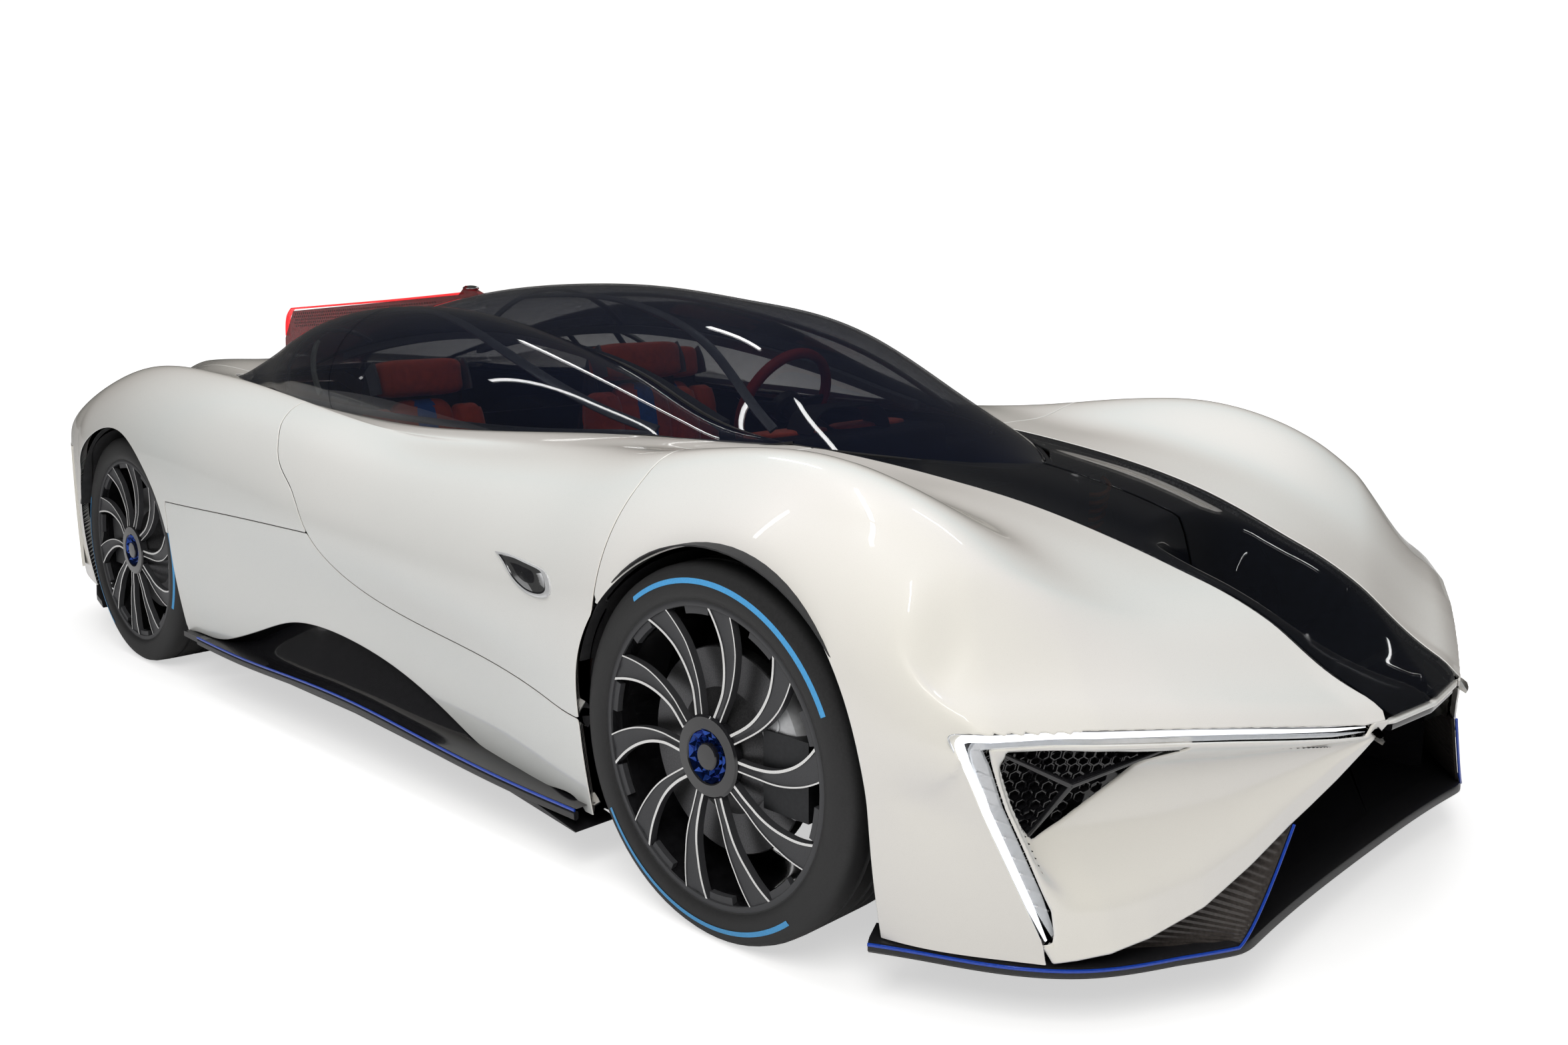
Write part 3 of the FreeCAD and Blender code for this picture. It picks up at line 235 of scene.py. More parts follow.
# Body form: half cross-sections, front to back, in millimetres; back is from the front axle.
# foot: lower edge; wide: widest point of the side; crown: top of the fender; edge: edge of the hood strip,
# cabin or deck; middle: height on the centre line. tuck, shoulder and flank are how far the curves between
# them stand out.
SECTIONS = [
    # back, foot_x, foot_z, wide_x, wide_z, crown_x, crown_z, edge_x, edge_z, middle_z, tuck, shoulder, flank
    (-990, 560, 128, 640, 340, 560, 420, 176, 446, 452, 10, 14, 0),
    (-820, 690, 128, 800, 385, 640, 500, 195, 538, 547, 10, 26, -8),
    (-690, 800, 128, 890, 430, 690, 592, 214, 618, 630, -6, 40, -8),
    (-600, 856, 128, 938, 455, 728, 655, 230, 660, 674, -8, 52, -8),
    (-545, 888, 128, 964, 482, 744, 698, 238, 680, 694, -6, 56, -8),
    (-480, 920, 128, 981, 490, 760, 746, 249, 704, 718, 0, 60, -10),
    (-400, 944, 128, 992, 492, 772, 802, 263, 732, 746, 8, 64, -14),
    (-250, 956, 128, 1000, 505, 780, 872, 285, 775, 789, 12, 66, -22),
    (-80, 958, 128, 1003, 530, 782, 908, 302, 808, 822, 12, 66, -24),
    (120, 958, 129, 1003, 535, 785, 906, 318, 836, 848, 12, 62, -22),
    (330, 956, 130, 1000, 535, 790, 882, 345, 857, 866, 10, 56, -8),
    (560, 942, 130, 984, 530, 774, 856, 480, 870, 874, 2, 52, 6),
    (800, 924, 132, 968, 530, 776, 836, 560, 869, 874, -8, 48, 8),
    (1100, 912, 134, 956, 545, 784, 824, 640, 860, 866, -14, 42, 8),
    (1380, 912, 134, 955, 565, 800, 828, 698, 854, 858, -14, 36, 6),
    (1700, 926, 136, 968, 585, 824, 868, 703, 862, 858, -10, 36, 3),
    (2000, 940, 140, 985, 600, 832, 908, 702, 876, 866, -2, 46, 4),
    (2230, 958, 144, 1002, 603, 840, 934, 655, 884, 884, 6, 54, 4),
    (2460, 968, 152, 1012, 604, 845, 950, 600, 890, 900, 12, 60, 4),
    (2925, 968, 176, 1014, 600, 845, 944, 500, 905, 925, 12, 62, 2),
    (3325, 940, 196, 985, 572, 815, 838, 400, 925, 935, 12, 60, 6),
    (3570, 882, 216, 920, 548, 745, 742, 350, 915, 925, 10, 52, 8),
    (3810, 755, 240, 800, 520, 660, 640, 300, 895, 905, 8, 40, 10),
]


def bowed(start, end, bow, share):
    """A point on the arc from start to end that stands out by bow, share of the way along."""
    run = end - start
    length = np.hypot(run[0], run[1])
    outward = np.array([run[1], -run[0]]) / length
    return start + run * share + outward * bow * 4 * share * (1 - share)


def section_points(row):
    """Control points of one half section, from the foot to the centre line and one past it."""
    (foot_x, foot_z, wide_x, wide_z, crown_x, crown_z, edge_x, edge_z, middle_z,
     tuck, shoulder, flank) = row[1:]
    foot, wide = np.array([foot_x, foot_z]), np.array([wide_x, wide_z])
    crown, edge = np.array([crown_x, crown_z]), np.array([edge_x, edge_z])
    middle = np.array([0, middle_z])
    between = bowed(edge, middle, 3, 0.5)
    points = [foot, bowed(foot, wide, tuck, 0.33), bowed(foot, wide, tuck, 0.66), wide]
    points += [bowed(wide, crown, shoulder, share) for share in (0.3, 0.6, 0.84)]
    points += [crown + np.array([-22, 2]), bowed(crown, edge, flank, 0.4), bowed(crown, edge, flank, 0.75)]
    points += [edge, between, middle, between * [-1, 1]]
    return points


BODY_ROWS = 330
BODY_COLUMNS = 120
EDGE_KNOT = 10


def body_grid():
    """The half body as a grid of points, with unit normals and the share of the way round each section."""
    table = np.array([section_points(row) for row in SECTIONS]) * MM
    stations = FRONT + np.array([row[0] for row in SECTIONS]) * MM
    chords = np.linalg.norm(np.diff(table, axis=1), axis=2).mean(0)
    knots = np.concatenate([[0], np.cumsum(chords)])
    round_share = np.linspace(0, knots[-2], BODY_COLUMNS)
    along = np.linspace(stations[0], stations[-1], BODY_ROWS)
    lengthwise = natural_spline(stations, table, along)
    shape = natural_spline(knots, lengthwise.transpose(1, 0, 2), round_share).transpose(1, 0, 2)
    points = np.zeros((BODY_ROWS, BODY_COLUMNS, 3))
    points[..., 0] = shape[..., 0]
    points[..., 1] = along[:, None]
    points[..., 2] = shape[..., 1]
    points[:, -1, 0] = 0
    return points, round_share / knots[EDGE_KNOT]


def crease(points):
    """The line along the top of each front fender: the skin just inside it sinks a little."""
    line_x = np.interp(points[..., 1], FRONT + np.array([-0.46, -0.30, -0.21, 0.05, 0.42]),
                       [0.832, 0.850, 0.872, 0.856, 0.850])
    fade = ease((points[..., 1] - FRONT + 0.50) / 0.16) * ease((0.50 - points[..., 1] + FRONT) / 0.30)
    across = (line_x - points[..., 0]) / 0.10
    dip = np.where(across > 0, across * np.exp(1 - across * 1.6) * 0.6, 0)
    high = points[..., 2] > 0.62
    return 0.0085 * fade * dip * high


def side_view(points):
    """(back, height) points in millimetres from the front axle, in the frame."""
    return [(FRONT + back * MM, height * MM) for back, height in points]


def plan_view(points):
    """Places given in millimetres as (x, back from the front axle), in metres."""
    return [(x * MM, FRONT + back * MM) for x, back in points]


def front_view(points):
    """Places given in millimetres as (x, height), in metres."""
    return [(x * MM, z * MM) for x, z in points]


LIP_LINE = [(0, -950), (178, -932), (238, -912), (358, -867), (486, -816), (604, -767), (762, -694),
            (924, -599),
            (955, -566), (968, -545)]
LIP_HEIGHTS = [456, 456, 456, 472, 490, 505, 523, 537, 538, 538]
TAIL_LINE = [(1012, 3110), (965, 3280), (880, 3510), (780, 3660), (600, 3755), (350, 3798), (0, 3810)]
PLAN_OUTLINE = plan_view(LIP_LINE + [(1100, -380), (1100, 3030)] + TAIL_LINE)
LIP_ROUND = 0.045
LIP_DROP = 0.018
LIP_REACH = 0.20
LIP_SLOPE = 0.42
TAIL_ROUND = 0.016


def nearest_on(places, outline):
    """The point of a closed outline nearest to each place."""
    start = np.asarray(outline, float)
    run = np.roll(start, -1, axis=0) - start
    best = np.full(len(places), 1e9)
    found = np.zeros((len(places), 2))
    for one, way in zip(start, run):
        length = (way ** 2).sum()
        if length < 1e-16:
            continue
        share = np.clip(((places - one) @ way) / length, 0, 1)
        spot = one + share[:, None] * way
        gap = np.linalg.norm(places - spot, axis=1)
        closer = gap < best
        best[closer], found[closer] = gap[closer], spot[closer]
    return found


def tail_rounded(points):
    """Draws the skin behind the rear wheels in to the tail's plan, so that it turns the corner."""
    places = points.reshape(-1, 3)[:, :2]
    tail = smooth_line(plan_view(TAIL_LINE), 120).tolist()
    outline = tail + [(-0.3, tail[-1][1]), (-0.3, FRONT), (1.2, FRONT), (1.2, tail[0][1] - 0.35)]
    near = nearest_on(places, outline)
    inside = inside_distance(places, outline)
    kept = 0.5 * (inside + np.sqrt(inside ** 2 + 4 * TAIL_ROUND ** 2)) - TAIL_ROUND * 0.06
    inward = (places - near) / np.where(np.abs(inside) < 1e-6, 1e-6, inside)[:, None]
    moved = near + inward * kept[:, None]
    share = ease((places[:, 1] - REAR - 0.22) / 0.12)[:, None]
    result = points.reshape(-1, 3).copy()
    result[:, :2] += (moved - places) * share
    result[:, 0] = np.where(places[:, 0] <= 1e-6, 0, result[:, 0])
    return result.reshape(points.shape)


def grid_normals(points):
    """Unit normals of a grid of points."""
    normals = np.cross(np.gradient(points, axis=1), np.gradient(points, axis=0))
    return normals / np.maximum(np.linalg.norm(normals, axis=2, keepdims=True), 1e-12)


def true_distance(values, points):
    """A signed distance in a flat view, turned into distance along the skin near its zero."""
    grid = values.reshape(points.shape[:2])
    along, around = np.gradient(points, axis=0), np.gradient(points, axis=1)
    rise_a, rise_b = np.gradient(grid, axis=0), np.gradient(grid, axis=1)
    aa, bb, ab = (along ** 2).sum(2), (around ** 2).sum(2), (along * around).sum(2)
    area = np.maximum(aa * bb - ab * ab, 1e-16)
    slope = np.sqrt(np.maximum((bb * rise_a ** 2 - 2 * ab * rise_a * rise_b + aa * rise_b ** 2) / area, 0))
    return (grid / np.clip(slope, 0.25, 1.5)).ravel()


def leg_x(z):
    """Where the lamp leg's outer edge is at height z, in millimetres."""
    return 838 + (z - 164) * (968 - 838) / (520 - 164)


def leg_y(z):
    """How far along the car the leg's outer edge is at height z, both in metres."""
    return FRONT - 0.545 - (0.520 - z) * (0.648 - 0.545) / (0.520 - 0.164)


def leg_cross(points):
    """Heights, and how far along the car the skin crosses the leg's outer edge at each of them."""
    heights = np.linspace(0.132, 0.520, 60)
    rows = points[points[:, 0, 1] < FRONT - 0.40]
    found = []
    for height in heights:
        across = []
        for row in rows:
            first = int(np.argmax(row[:, 2] >= height))
            if row[first, 2] < height:
                across.append(-1.0)
                continue
            x = np.interp(height, row[[first - 1, first], 2],
                          row[[first - 1, first], 0]) if first else row[0, 0]
            across.append(x - leg_x(height / MM) * MM)
        across = np.array(across)
        after = int(np.argmax(across > 0))
        pair = [after - 1, after]
        found.append(np.interp(0, across[pair], rows[pair, 0, 1]))
    return heights, np.array(found)


body_points, round_share = body_grid()
body_points = body_points - grid_normals(body_points) * crease(body_points)[..., None]
lip_distance = inside_distance(body_points.reshape(-1, 3)[:, :2], PLAN_OUTLINE).reshape(body_points.shape[:2])
at_nose = ease((FRONT - 0.40 - body_points[..., 1]) / 0.10)
lip_height = np.interp(body_points[..., 0], [x * MM for x, _ in LIP_LINE], [z * MM for z in LIP_HEIGHTS])
settled = lip_height + LIP_SLOPE * lip_distance + LIP_DROP
on_top = ease((body_points[..., 2] - 0.40) / 0.06) * ease((0.965 - body_points[..., 0]) / 0.03)
share = (1 - ease(lip_distance / LIP_REACH)) * at_nose * on_top
body_points[..., 2] += (settled - body_points[..., 2]) * share
lip_share = np.clip(1 - lip_distance / LIP_ROUND, 0, 1.2) * at_nose * on_top
body_points[..., 2] -= LIP_DROP * lip_share ** 2
LEG_HEIGHTS, LEG_FOUND = leg_cross(body_points)
to_leg = np.abs(body_points[..., 0] - leg_x(body_points[..., 2] / MM) * MM) * 0.94
near_leg = (1 - ease(to_leg / 0.16)) * ease((FRONT - 0.40 - body_points[..., 1]) / 0.10)
near_leg *= ease((0.525 - body_points[..., 2]) / 0.08)
found_y = np.interp(body_points[..., 2], LEG_HEIGHTS, LEG_FOUND)
body_points[..., 1] += (leg_y(np.clip(body_points[..., 2], 0.128, 0.524)) - found_y) * near_leg
body_points = tail_rounded(body_points)
body_normals = grid_normals(body_points)
if body_normals[BODY_ROWS // 2, 10, 0] < 0:
    body_normals = -body_normals
SKIN_POINTS = body_points.reshape(-1, 3)
SKIN_NORMALS = body_normals.reshape(-1, 3)
SKIN_FACES = grid_faces(BODY_ROWS, BODY_COLUMNS)
if (face_normals(SKIN_POINTS, SKIN_FACES[:50]) * SKIN_NORMALS[SKIN_FACES[:50, 0]]).sum() < 0:
    SKIN_FACES = SKIN_FACES[:, ::-1]
PLAN_PLACES = SKIN_POINTS[:, [0, 1]]
SIDE_PLACES = SKIN_POINTS[:, [1, 2]]
FACE_PLACES = SKIN_POINTS[:, [0, 2]]


# Seams and openings as signed distances on the skin, positive inside, in metres. Outlines repeat the part's
# own, but the upper end of the door seam stands further forward than in the part.

STRIP_EDGE = [(176, -930), (180, -900), (194, -827), (207, -730), (222, -631), (246, -485), (269, -364),
              (286, -233),
              (306, -60), (318, 80), (343, 336)]
WAIST = [(0, -58), (60, -42), (150, 20), (215, 114), (343, 336), (500, 600), (600, 1000), (690, 1330),
         (704, 1600),
         (706, 2100), (660, 2380), (590, 2600), (500, 2973), (0, 2973)]
DOOR_SEAM = [(320, 347), (459, 352), (519, 362), (691, 384), (946, 402), (1230, 431), (1421, 481),
             (1560, 566),
             (1625, 638), (1684, 692), (1741, 728), (1790, 770), (1822, 812), (1850, 845), (1872, 880)]
DOOR_SEAM_TOP = [(1880, 960), (1880, 1500)]
DOOR_FRONT = 323
SEAM_Z = 580
LEG_OUTER = [(968, 520), (838, 164), (825, 100)]
SKIRT_LINE = [(405, 100), (431, 140), (560, 146), (675, 149), (832, 156), (962, 191), (1171, 252),
              (1441, 301),
              (1633, 313), (1748, 302), (1897, 259), (2060, 206), (2194, 178), (2333, 178), (2380, 170)]


def field(places, outline):
    """Signed distance to an outline, at every point of the skin."""
    return true_distance(inside_distance(places, outline), body_points)


waist_curve = smooth_line(plan_view(WAIST[4:13]), 60)
cabin_outline = plan_view(WAIST[:4]) + waist_curve.tolist() + plan_view(WAIST[13:])
strip_curve = smooth_line(plan_view(STRIP_EDGE), 60)
strip_outline = [(-0.4, FRONT - 1.0), (0.176, FRONT - 1.0)] + strip_curve.tolist() + [(-0.4, FRONT + 0.336)]
seam_curve = smooth_line(side_view(DOOR_SEAM), 90)
door_outline = (seam_curve.tolist() + side_view(DOOR_SEAM_TOP)
                + side_view([(DOOR_FRONT, 1500), (DOOR_FRONT, 347)]))
skirt_curve = smooth_line(side_view(SKIRT_LINE), 90)
skirt_outline = skirt_curve.tolist() + side_view([(2380, 0), (405, 0)])

IN_PLAN = field(PLAN_PLACES, PLAN_OUTLINE)
IN_CABIN = field(PLAN_PLACES, cabin_outline)
IN_STRIP = field(PLAN_PLACES, strip_outline)
IN_DOOR = field(SIDE_PLACES, door_outline)
IN_SKIRT = field(SIDE_PLACES, skirt_outline)
IN_ARCH = np.full(len(SKIN_POINTS), -9.0)
for axle_y, hub_z, radius in ARCHES:
    around = radius - np.hypot(SIDE_PLACES[:, 0] - axle_y, SIDE_PLACES[:, 1] - hub_z)
    legs = np.minimum(radius - np.abs(SIDE_PLACES[:, 0] - axle_y), hub_z - SIDE_PLACES[:, 1])
    IN_ARCH = np.maximum(IN_ARCH, np.where(SIDE_PLACES[:, 1] > hub_z, around, np.maximum(around, legs)))
lip_front = [(x, z - 5) for (x, _), z in zip(LIP_LINE, LIP_HEIGHTS)]
leg_outline = front_view([(-200, 451)] + lip_front + LEG_OUTER + [(-200, 100)])
lip_y = FRONT + np.interp(SKIN_POINTS[:, 0], [x * MM for x, _ in LIP_LINE], [y * MM for _, y in LIP_LINE])
face_reach = np.interp(SKIN_POINTS[:, 0], [0.88, 0.955], [0.038, 0.005])
IN_FACE = np.minimum(field(FACE_PLACES, leg_outline), lip_y + face_reach - SKIN_POINTS[:, 1])
BEFORE_DOOR = true_distance(FRONT + DOOR_FRONT * MM - SKIN_POINTS[:, 1], body_points)
lip_top = np.interp(SKIN_POINTS[:, 0], [x * MM for x, _ in LIP_LINE], [z * MM for z in LIP_HEIGHTS]) + 0.003
low_corner = np.minimum.reduce([lip_top - SKIN_POINTS[:, 2], SKIN_POINTS[:, 0] - 0.80,
                                FRONT - 0.3 - SKIN_POINTS[:, 1]])
IN_PLAN = np.maximum(IN_PLAN, low_corner)
IN_PLAN = np.where(SKIN_POINTS[:, 1] > REAR, inside_distance(PLAN_PLACES, PLAN_OUTLINE), IN_PLAN)
OPEN_SKIN = np.minimum.reduce([IN_PLAN, -IN_CABIN, -IN_STRIP, -IN_ARCH, -IN_SKIRT, -IN_FACE])
SILL_END = REAR - 0.40
IN_SILL = np.minimum.reduce([-BEFORE_DOOR, SILL_END - SKIN_POINTS[:, 1], SEAM_Z * MM - SKIN_POINTS[:, 2]])
IN_DECK = np.minimum.reduce([0.420 - SKIN_POINTS[:, 0], SKIN_POINTS[:, 1] - REAR - 0.193,
                             SKIN_POINTS[:, 2] - 0.70])
TAIL_WINDOW = front_view([(-100, 330), (600, 330), (705, 500), (600, 590), (300, 800), (-100, 812)])
IN_TAIL = np.minimum(field(FACE_PLACES, TAIL_WINDOW), SKIN_POINTS[:, 1] - REAR - 0.62)

SEAM_HALF = 0.0011
ROLL = ((0.0, 0.0014), (0.0008, 0.0005), (0.0024, 0.0))


def without_specks(faces, count, least=300):
    """Leaves out the islands of fewer faces than least."""
    parent = list(range(count))

    def root(k):
        while parent[k] != k:
            parent[k] = parent[parent[k]]
            k = parent[k]
        return k

    for face in np.asarray(faces).tolist():
        first = root(face[0])
        for corner in face[1:]:
            parent[root(corner)] = first
    island = np.array([root(face[0]) for face in np.asarray(faces).tolist()])
    _, place, size = np.unique(island, return_inverse=True, return_counts=True)
    return faces[size[place] >= min(least, size.max())]


def rolled_panel(inside, thickness, skin=None, seam=SEAM_HALF, roll=ROLL):
    """One panel of the left half: the skin where inside is over seam, with its edges rolled in."""
    points, normals, faces = skin or (SKIN_POINTS, SKIN_NORMALS, SKIN_FACES)
    data = np.concatenate([points, normals, inside[:, None]], axis=1)
    keep = (inside[faces] > seam - 0.03).any(1)
    faces = faces[keep]
    for distance, _ in roll:
        data, faces = cut_at(data, faces, 6, seam + distance)
    data, faces = keep_above(data, faces, 6, seam)
    faces = without_specks(faces, len(data))
    points, normals, depth = data[:, :3], data[:, 3:6], data[:, 6] - seam
    normals = normals / np.linalg.norm(normals, axis=1, keepdims=True)
    sink = np.interp(depth, [row[0] for row in roll], [row[1] for row in roll])
    points = points - normals * sink[:, None]
    edged = depth < roll[-1][0] * 0.98
    measured = point_normals(points, faces)
    normals = np.where(edged[:, None], measured, normals)
    return thick_panel(points, faces, normals, thickness)


# Materials

def material(name, colour, roughness, metallic=0.0, **extra):
    """A Principled material; extra names further sockets, with _ for a space."""
    made = bpy.data.materials.new(name)
    made.use_nodes = True
    shader = made.node_tree.nodes["Principled BSDF"]
    shader.inputs["Base Color"].default_value = (*colour, 1)
    shader.inputs["Roughness"].default_value = roughness
    shader.inputs["Metallic"].default_value = metallic
    for key, value in extra.items():
        shader.inputs[key.replace("_", " ")].default_value = value
    made.diffuse_color = (*colour, 1)
    return made


def wear(made, colour, scale, spread, roughness, rough_spread, bump=0.0, bump_scale=None, stretch=(1, 1, 1)):
    """Fine variation of colour and roughness over a material, and a fine bump."""
    tree = made.node_tree
    nodes, links = tree.nodes, tree.links
    shader = nodes["Principled BSDF"]
    coordinates = nodes.new("ShaderNodeTexCoord")
    mapping = nodes.new("ShaderNodeMapping")
    mapping.inputs["Scale"].default_value = stretch
    links.new(coordinates.outputs["Object"], mapping.inputs["Vector"])
    noise = nodes.new("ShaderNodeTexNoise")
    noise.inputs["Scale"].default_value = scale
    noise.inputs["Detail"].default_value = 4
    links.new(mapping.outputs["Vector"], noise.inputs["Vector"])
    ramp = nodes.new("ShaderNodeValToRGB")
    ramp.color_ramp.elements[0].position = 0.3
    ramp.color_ramp.elements[1].position = 0.7
    ramp.color_ramp.elements[0].color = (*[c * (1 - spread) for c in colour], 1)
    ramp.color_ramp.elements[1].color = (*[min(1, c * (1 + spread)) for c in colour], 1)
    links.new(noise.outputs["Fac"], ramp.inputs["Fac"])
    links.new(ramp.outputs["Color"], shader.inputs["Base Color"])
    span = nodes.new("ShaderNodeMapRange")
    span.inputs["To Min"].default_value = max(0.0, roughness - rough_spread)
    span.inputs["To Max"].default_value = min(1.0, roughness + rough_spread)
    links.new(noise.outputs["Fac"], span.inputs["Value"])
    links.new(span.outputs["Result"], shader.inputs["Roughness"])
    if bump:
        grain = nodes.new("ShaderNodeTexNoise")
        grain.inputs["Scale"].default_value = bump_scale or scale * 6
        grain.inputs["Detail"].default_value = 3
        links.new(mapping.outputs["Vector"], grain.inputs["Vector"])
        bumper = nodes.new("ShaderNodeBump")
        bumper.inputs["Strength"].default_value = bump
        bumper.inputs["Distance"].default_value = 0.001
        links.new(grain.outputs["Fac"], bumper.inputs["Height"])
        links.new(bumper.outputs["Normal"], shader.inputs["Normal"])
    return made


def surface(name, colour, roughness, metallic, grain, bump=(), **extra):
    """A worn material: grain is its scale and its spread of colour and roughness, bump as wear() takes it."""
    scale, spread, rough_spread = grain
    made = material(name, colour, roughness, metallic, **extra)
    return wear(made, colour, scale, spread, roughness, rough_spread, *bump)


def pearl_paint():
    """White pearl: warm white with a faint blue and rose flop and a clear coat."""
    colour = (0.80, 0.79, 0.75)
    made = material("pearl_white", colour, 0.30, 0.0, Coat_Weight=1.0, Coat_Roughness=0.03, Coat_IOR=1.5)
    wear(made, colour, 900, 0.012, 0.28, 0.02)
    tree = made.node_tree
    nodes, links = tree.nodes, tree.links
    shader = nodes["Principled BSDF"]
    ramp = next(node for node in nodes if node.type == "VALTORGB")
    facing = nodes.new("ShaderNodeLayerWeight")
    facing.inputs["Blend"].default_value = 0.42
    flop = nodes.new("ShaderNodeValToRGB")
    flop.color_ramp.elements[0].position = 0.0
    flop.color_ramp.elements[0].color = (1.0, 0.985, 0.955, 1)
    flop.color_ramp.elements[1].position = 1.0
    flop.color_ramp.elements[1].color = (1.0, 0.965, 0.90, 1)
    for place, tint in ((0.30, (0.985, 0.975, 1.0, 1)), (0.52, (0.93, 0.965, 1.0, 1)),
                        (0.75, (1.0, 0.97, 0.97, 1))):
        stop = flop.color_ramp.elements.new(place)
        stop.color = tint
    mix = nodes.new("ShaderNodeMixRGB")
    mix.blend_type = "MULTIPLY"
    mix.inputs["Fac"].default_value = 1.0
    links.new(facing.outputs["Facing"], flop.inputs["Fac"])
    links.new(ramp.outputs["Color"], mix.inputs["Color1"])
    links.new(flop.outputs["Color"], mix.inputs["Color2"])
    links.new(mix.outputs["Color"], shader.inputs["Base Color"])
    return made


PAINT = pearl_paint()
UNDERSIDE = surface("panel_inside", (0.03, 0.03, 0.032), 0.6, 0.0, (60, 0.2, 0.1), (0.3, 400))


FIXED = {"left": "chassis", "right": "chassis"}
DOORS = {"left": "door_left", "right": "door_right"}


def panel_pair(name, panel, materials, bodies=FIXED, replaces=None, kinds=None):
    """A panel and its mirror image; SIDE in the replaced node's name stands for left or right."""
    points, faces, normals = panel
    for side_name, side in SIDES:
        p, n, f = two_sided(points, normals, faces, side)
        item = mesh_object("%s_%s" % (name, side_name), p, f, n, materials, kinds)
        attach(item, bodies[side_name])
        if replaces:
            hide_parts(replaces.replace("SIDE", side_name))


def paint_panel(name, inside, thickness, bodies, node):
    """A painted panel on both sides of the car, dark inside; node is the CAD node that it stands for."""
    panel = rolled_panel(inside, thickness)
    points, faces = panel[:2]
    rim_edges = len(open_edges(faces)) // 6
    kinds = dark_inside(points, faces, (len(faces) - 2 * rim_edges) // 2)
    panel_pair(name, panel, [PAINT, UNDERSIDE], bodies, node, kinds)


FENDER = np.minimum(OPEN_SKIN, BEFORE_DOOR)
REST = np.minimum(OPEN_SKIN, -BEFORE_DOOR)
paint_panel("fender", FENDER, 0.024, FIXED, "front_fender_SIDE")
paint_panel("door_skin", np.minimum(REST, IN_DOOR), 0.038, DOORS, "door_panel_SIDE")
paint_panel("sill", np.minimum.reduce([REST, -IN_DOOR, IN_SILL]), 0.038, FIXED, "side_sills")
paint_panel("quarter", np.minimum.reduce([REST, -IN_DOOR, -IN_SILL, -IN_DECK, -IN_TAIL]), 0.038, FIXED,
            "rear_quarter_SIDE")
paint_panel("deck", np.minimum.reduce([REST, IN_DECK, -IN_TAIL]), 0.030, FIXED, "rear_deck")


# Fascia: the white fang under the lamp bar, as a height field over the front view, in millimetres.
FANG_X = [178, 200, 300, 400, 500, 600, 700, 800, 830, 968]
FANG_TOP = [456, 457, 465, 478, 492, 505, 516, 527, 530, 536]
FANG_BOTTOM = [451, 436, 364, 304, 248, 200, 166, 137, 129, 128]
CHIN_X = [178, 300, 400, 600, 700, 760, 800, 832, 968]
CHIN_OUT = [0, 4, 10, 38, 42, 34, 18, 0, 0]
CHANNEL_X = [178, 200, 300, 400, 500, 600, 700, 800, 968]
CHANNEL_DEEP = [0, 2, 12, 24, 38, 54, 68, 78, 78]
CHANNEL_END = [446, 440, 395, 340, 285, 250, 230, 210, 210]
BAR_DROP = 30
LEG_BAND = 42
VENT = [(898, 499), (604, 470), (800, 321)]


def lip_back(x):
    """Distance back from the front axle of the lip of the nose at x, in millimetres."""
    xs = [point[0] for point in LIP_LINE]
    return np.interp(x, xs, [point[1] for point in LIP_LINE])


def face_back(x, z):
    """Distance back of the face of the nose, in millimetres: the lip's line, led to the fender."""
    at_leg = (leg_y(np.clip(z, 132, 520) * MM) - FRONT) / MM
    beside = 1 - ease((leg_x(z) - x) / 300)
    return lip_back(x) + (at_leg - lip_back(leg_x(z))) * beside


def fang_depth(x, z, top, bottom):
    """How far the fang's skin lies behind the lip, in millimetres."""
    share = (top - z) / np.maximum(top - bottom, 1)
    chin = -np.interp(x, CHIN_X, CHIN_OUT) * np.clip(share, 0, 1) ** 1.5
    end = np.interp(x, CHANNEL_X, CHANNEL_END)
    fall = (top - BAR_DROP - z) / np.maximum(top - BAR_DROP - end, 1)
    channel = ease(fall / 0.22) * (1 - ease((fall - 0.55) / 0.45))
    beside_leg = ease((leg_x(z) - LEG_BAND - x) / 34)
    return chin + np.interp(x, CHANNEL_X, CHANNEL_DEEP) * channel * beside_leg


def fang_point(x, z):
    """A point of the fang's skin, in the frame, from its place in the front view in millimetres."""
    x, z = np.asarray(x, float), np.asarray(z, float)
    top, bottom = np.interp(x, FANG_X, FANG_TOP), np.interp(x, FANG_X, FANG_BOTTOM)
    back = face_back(x, z) + fang_depth(x, z, top, bottom)
    return np.stack([x * MM, FRONT + back * MM, z * MM], -1)


def fang_grid(rows=190, columns=96):
    """The whole fang as a grid from the tip outwards, with the front view place of every point."""
    x = np.linspace(178, 967.9, rows)[:, None] * np.ones(columns)
    share = np.linspace(0, 1, columns)[None, :] * np.ones((rows, 1))
    top, bottom = np.interp(x, FANG_X, FANG_TOP), np.interp(x, FANG_X, FANG_BOTTOM)
    z = top + (bottom - top) * share
    return fang_point(x, z), x, z


def smooth_grid(points, times):
    """Takes small steps out of a grid, keeping its border."""
    for _ in range(times):
        inner = (points[:-2, 1:-1] + points[2:, 1:-1] + points[1:-1, :-2] + points[1:-1, 2:]) / 4
        points[1:-1, 1:-1] = (points[1:-1, 1:-1] + inner) / 2
    return points


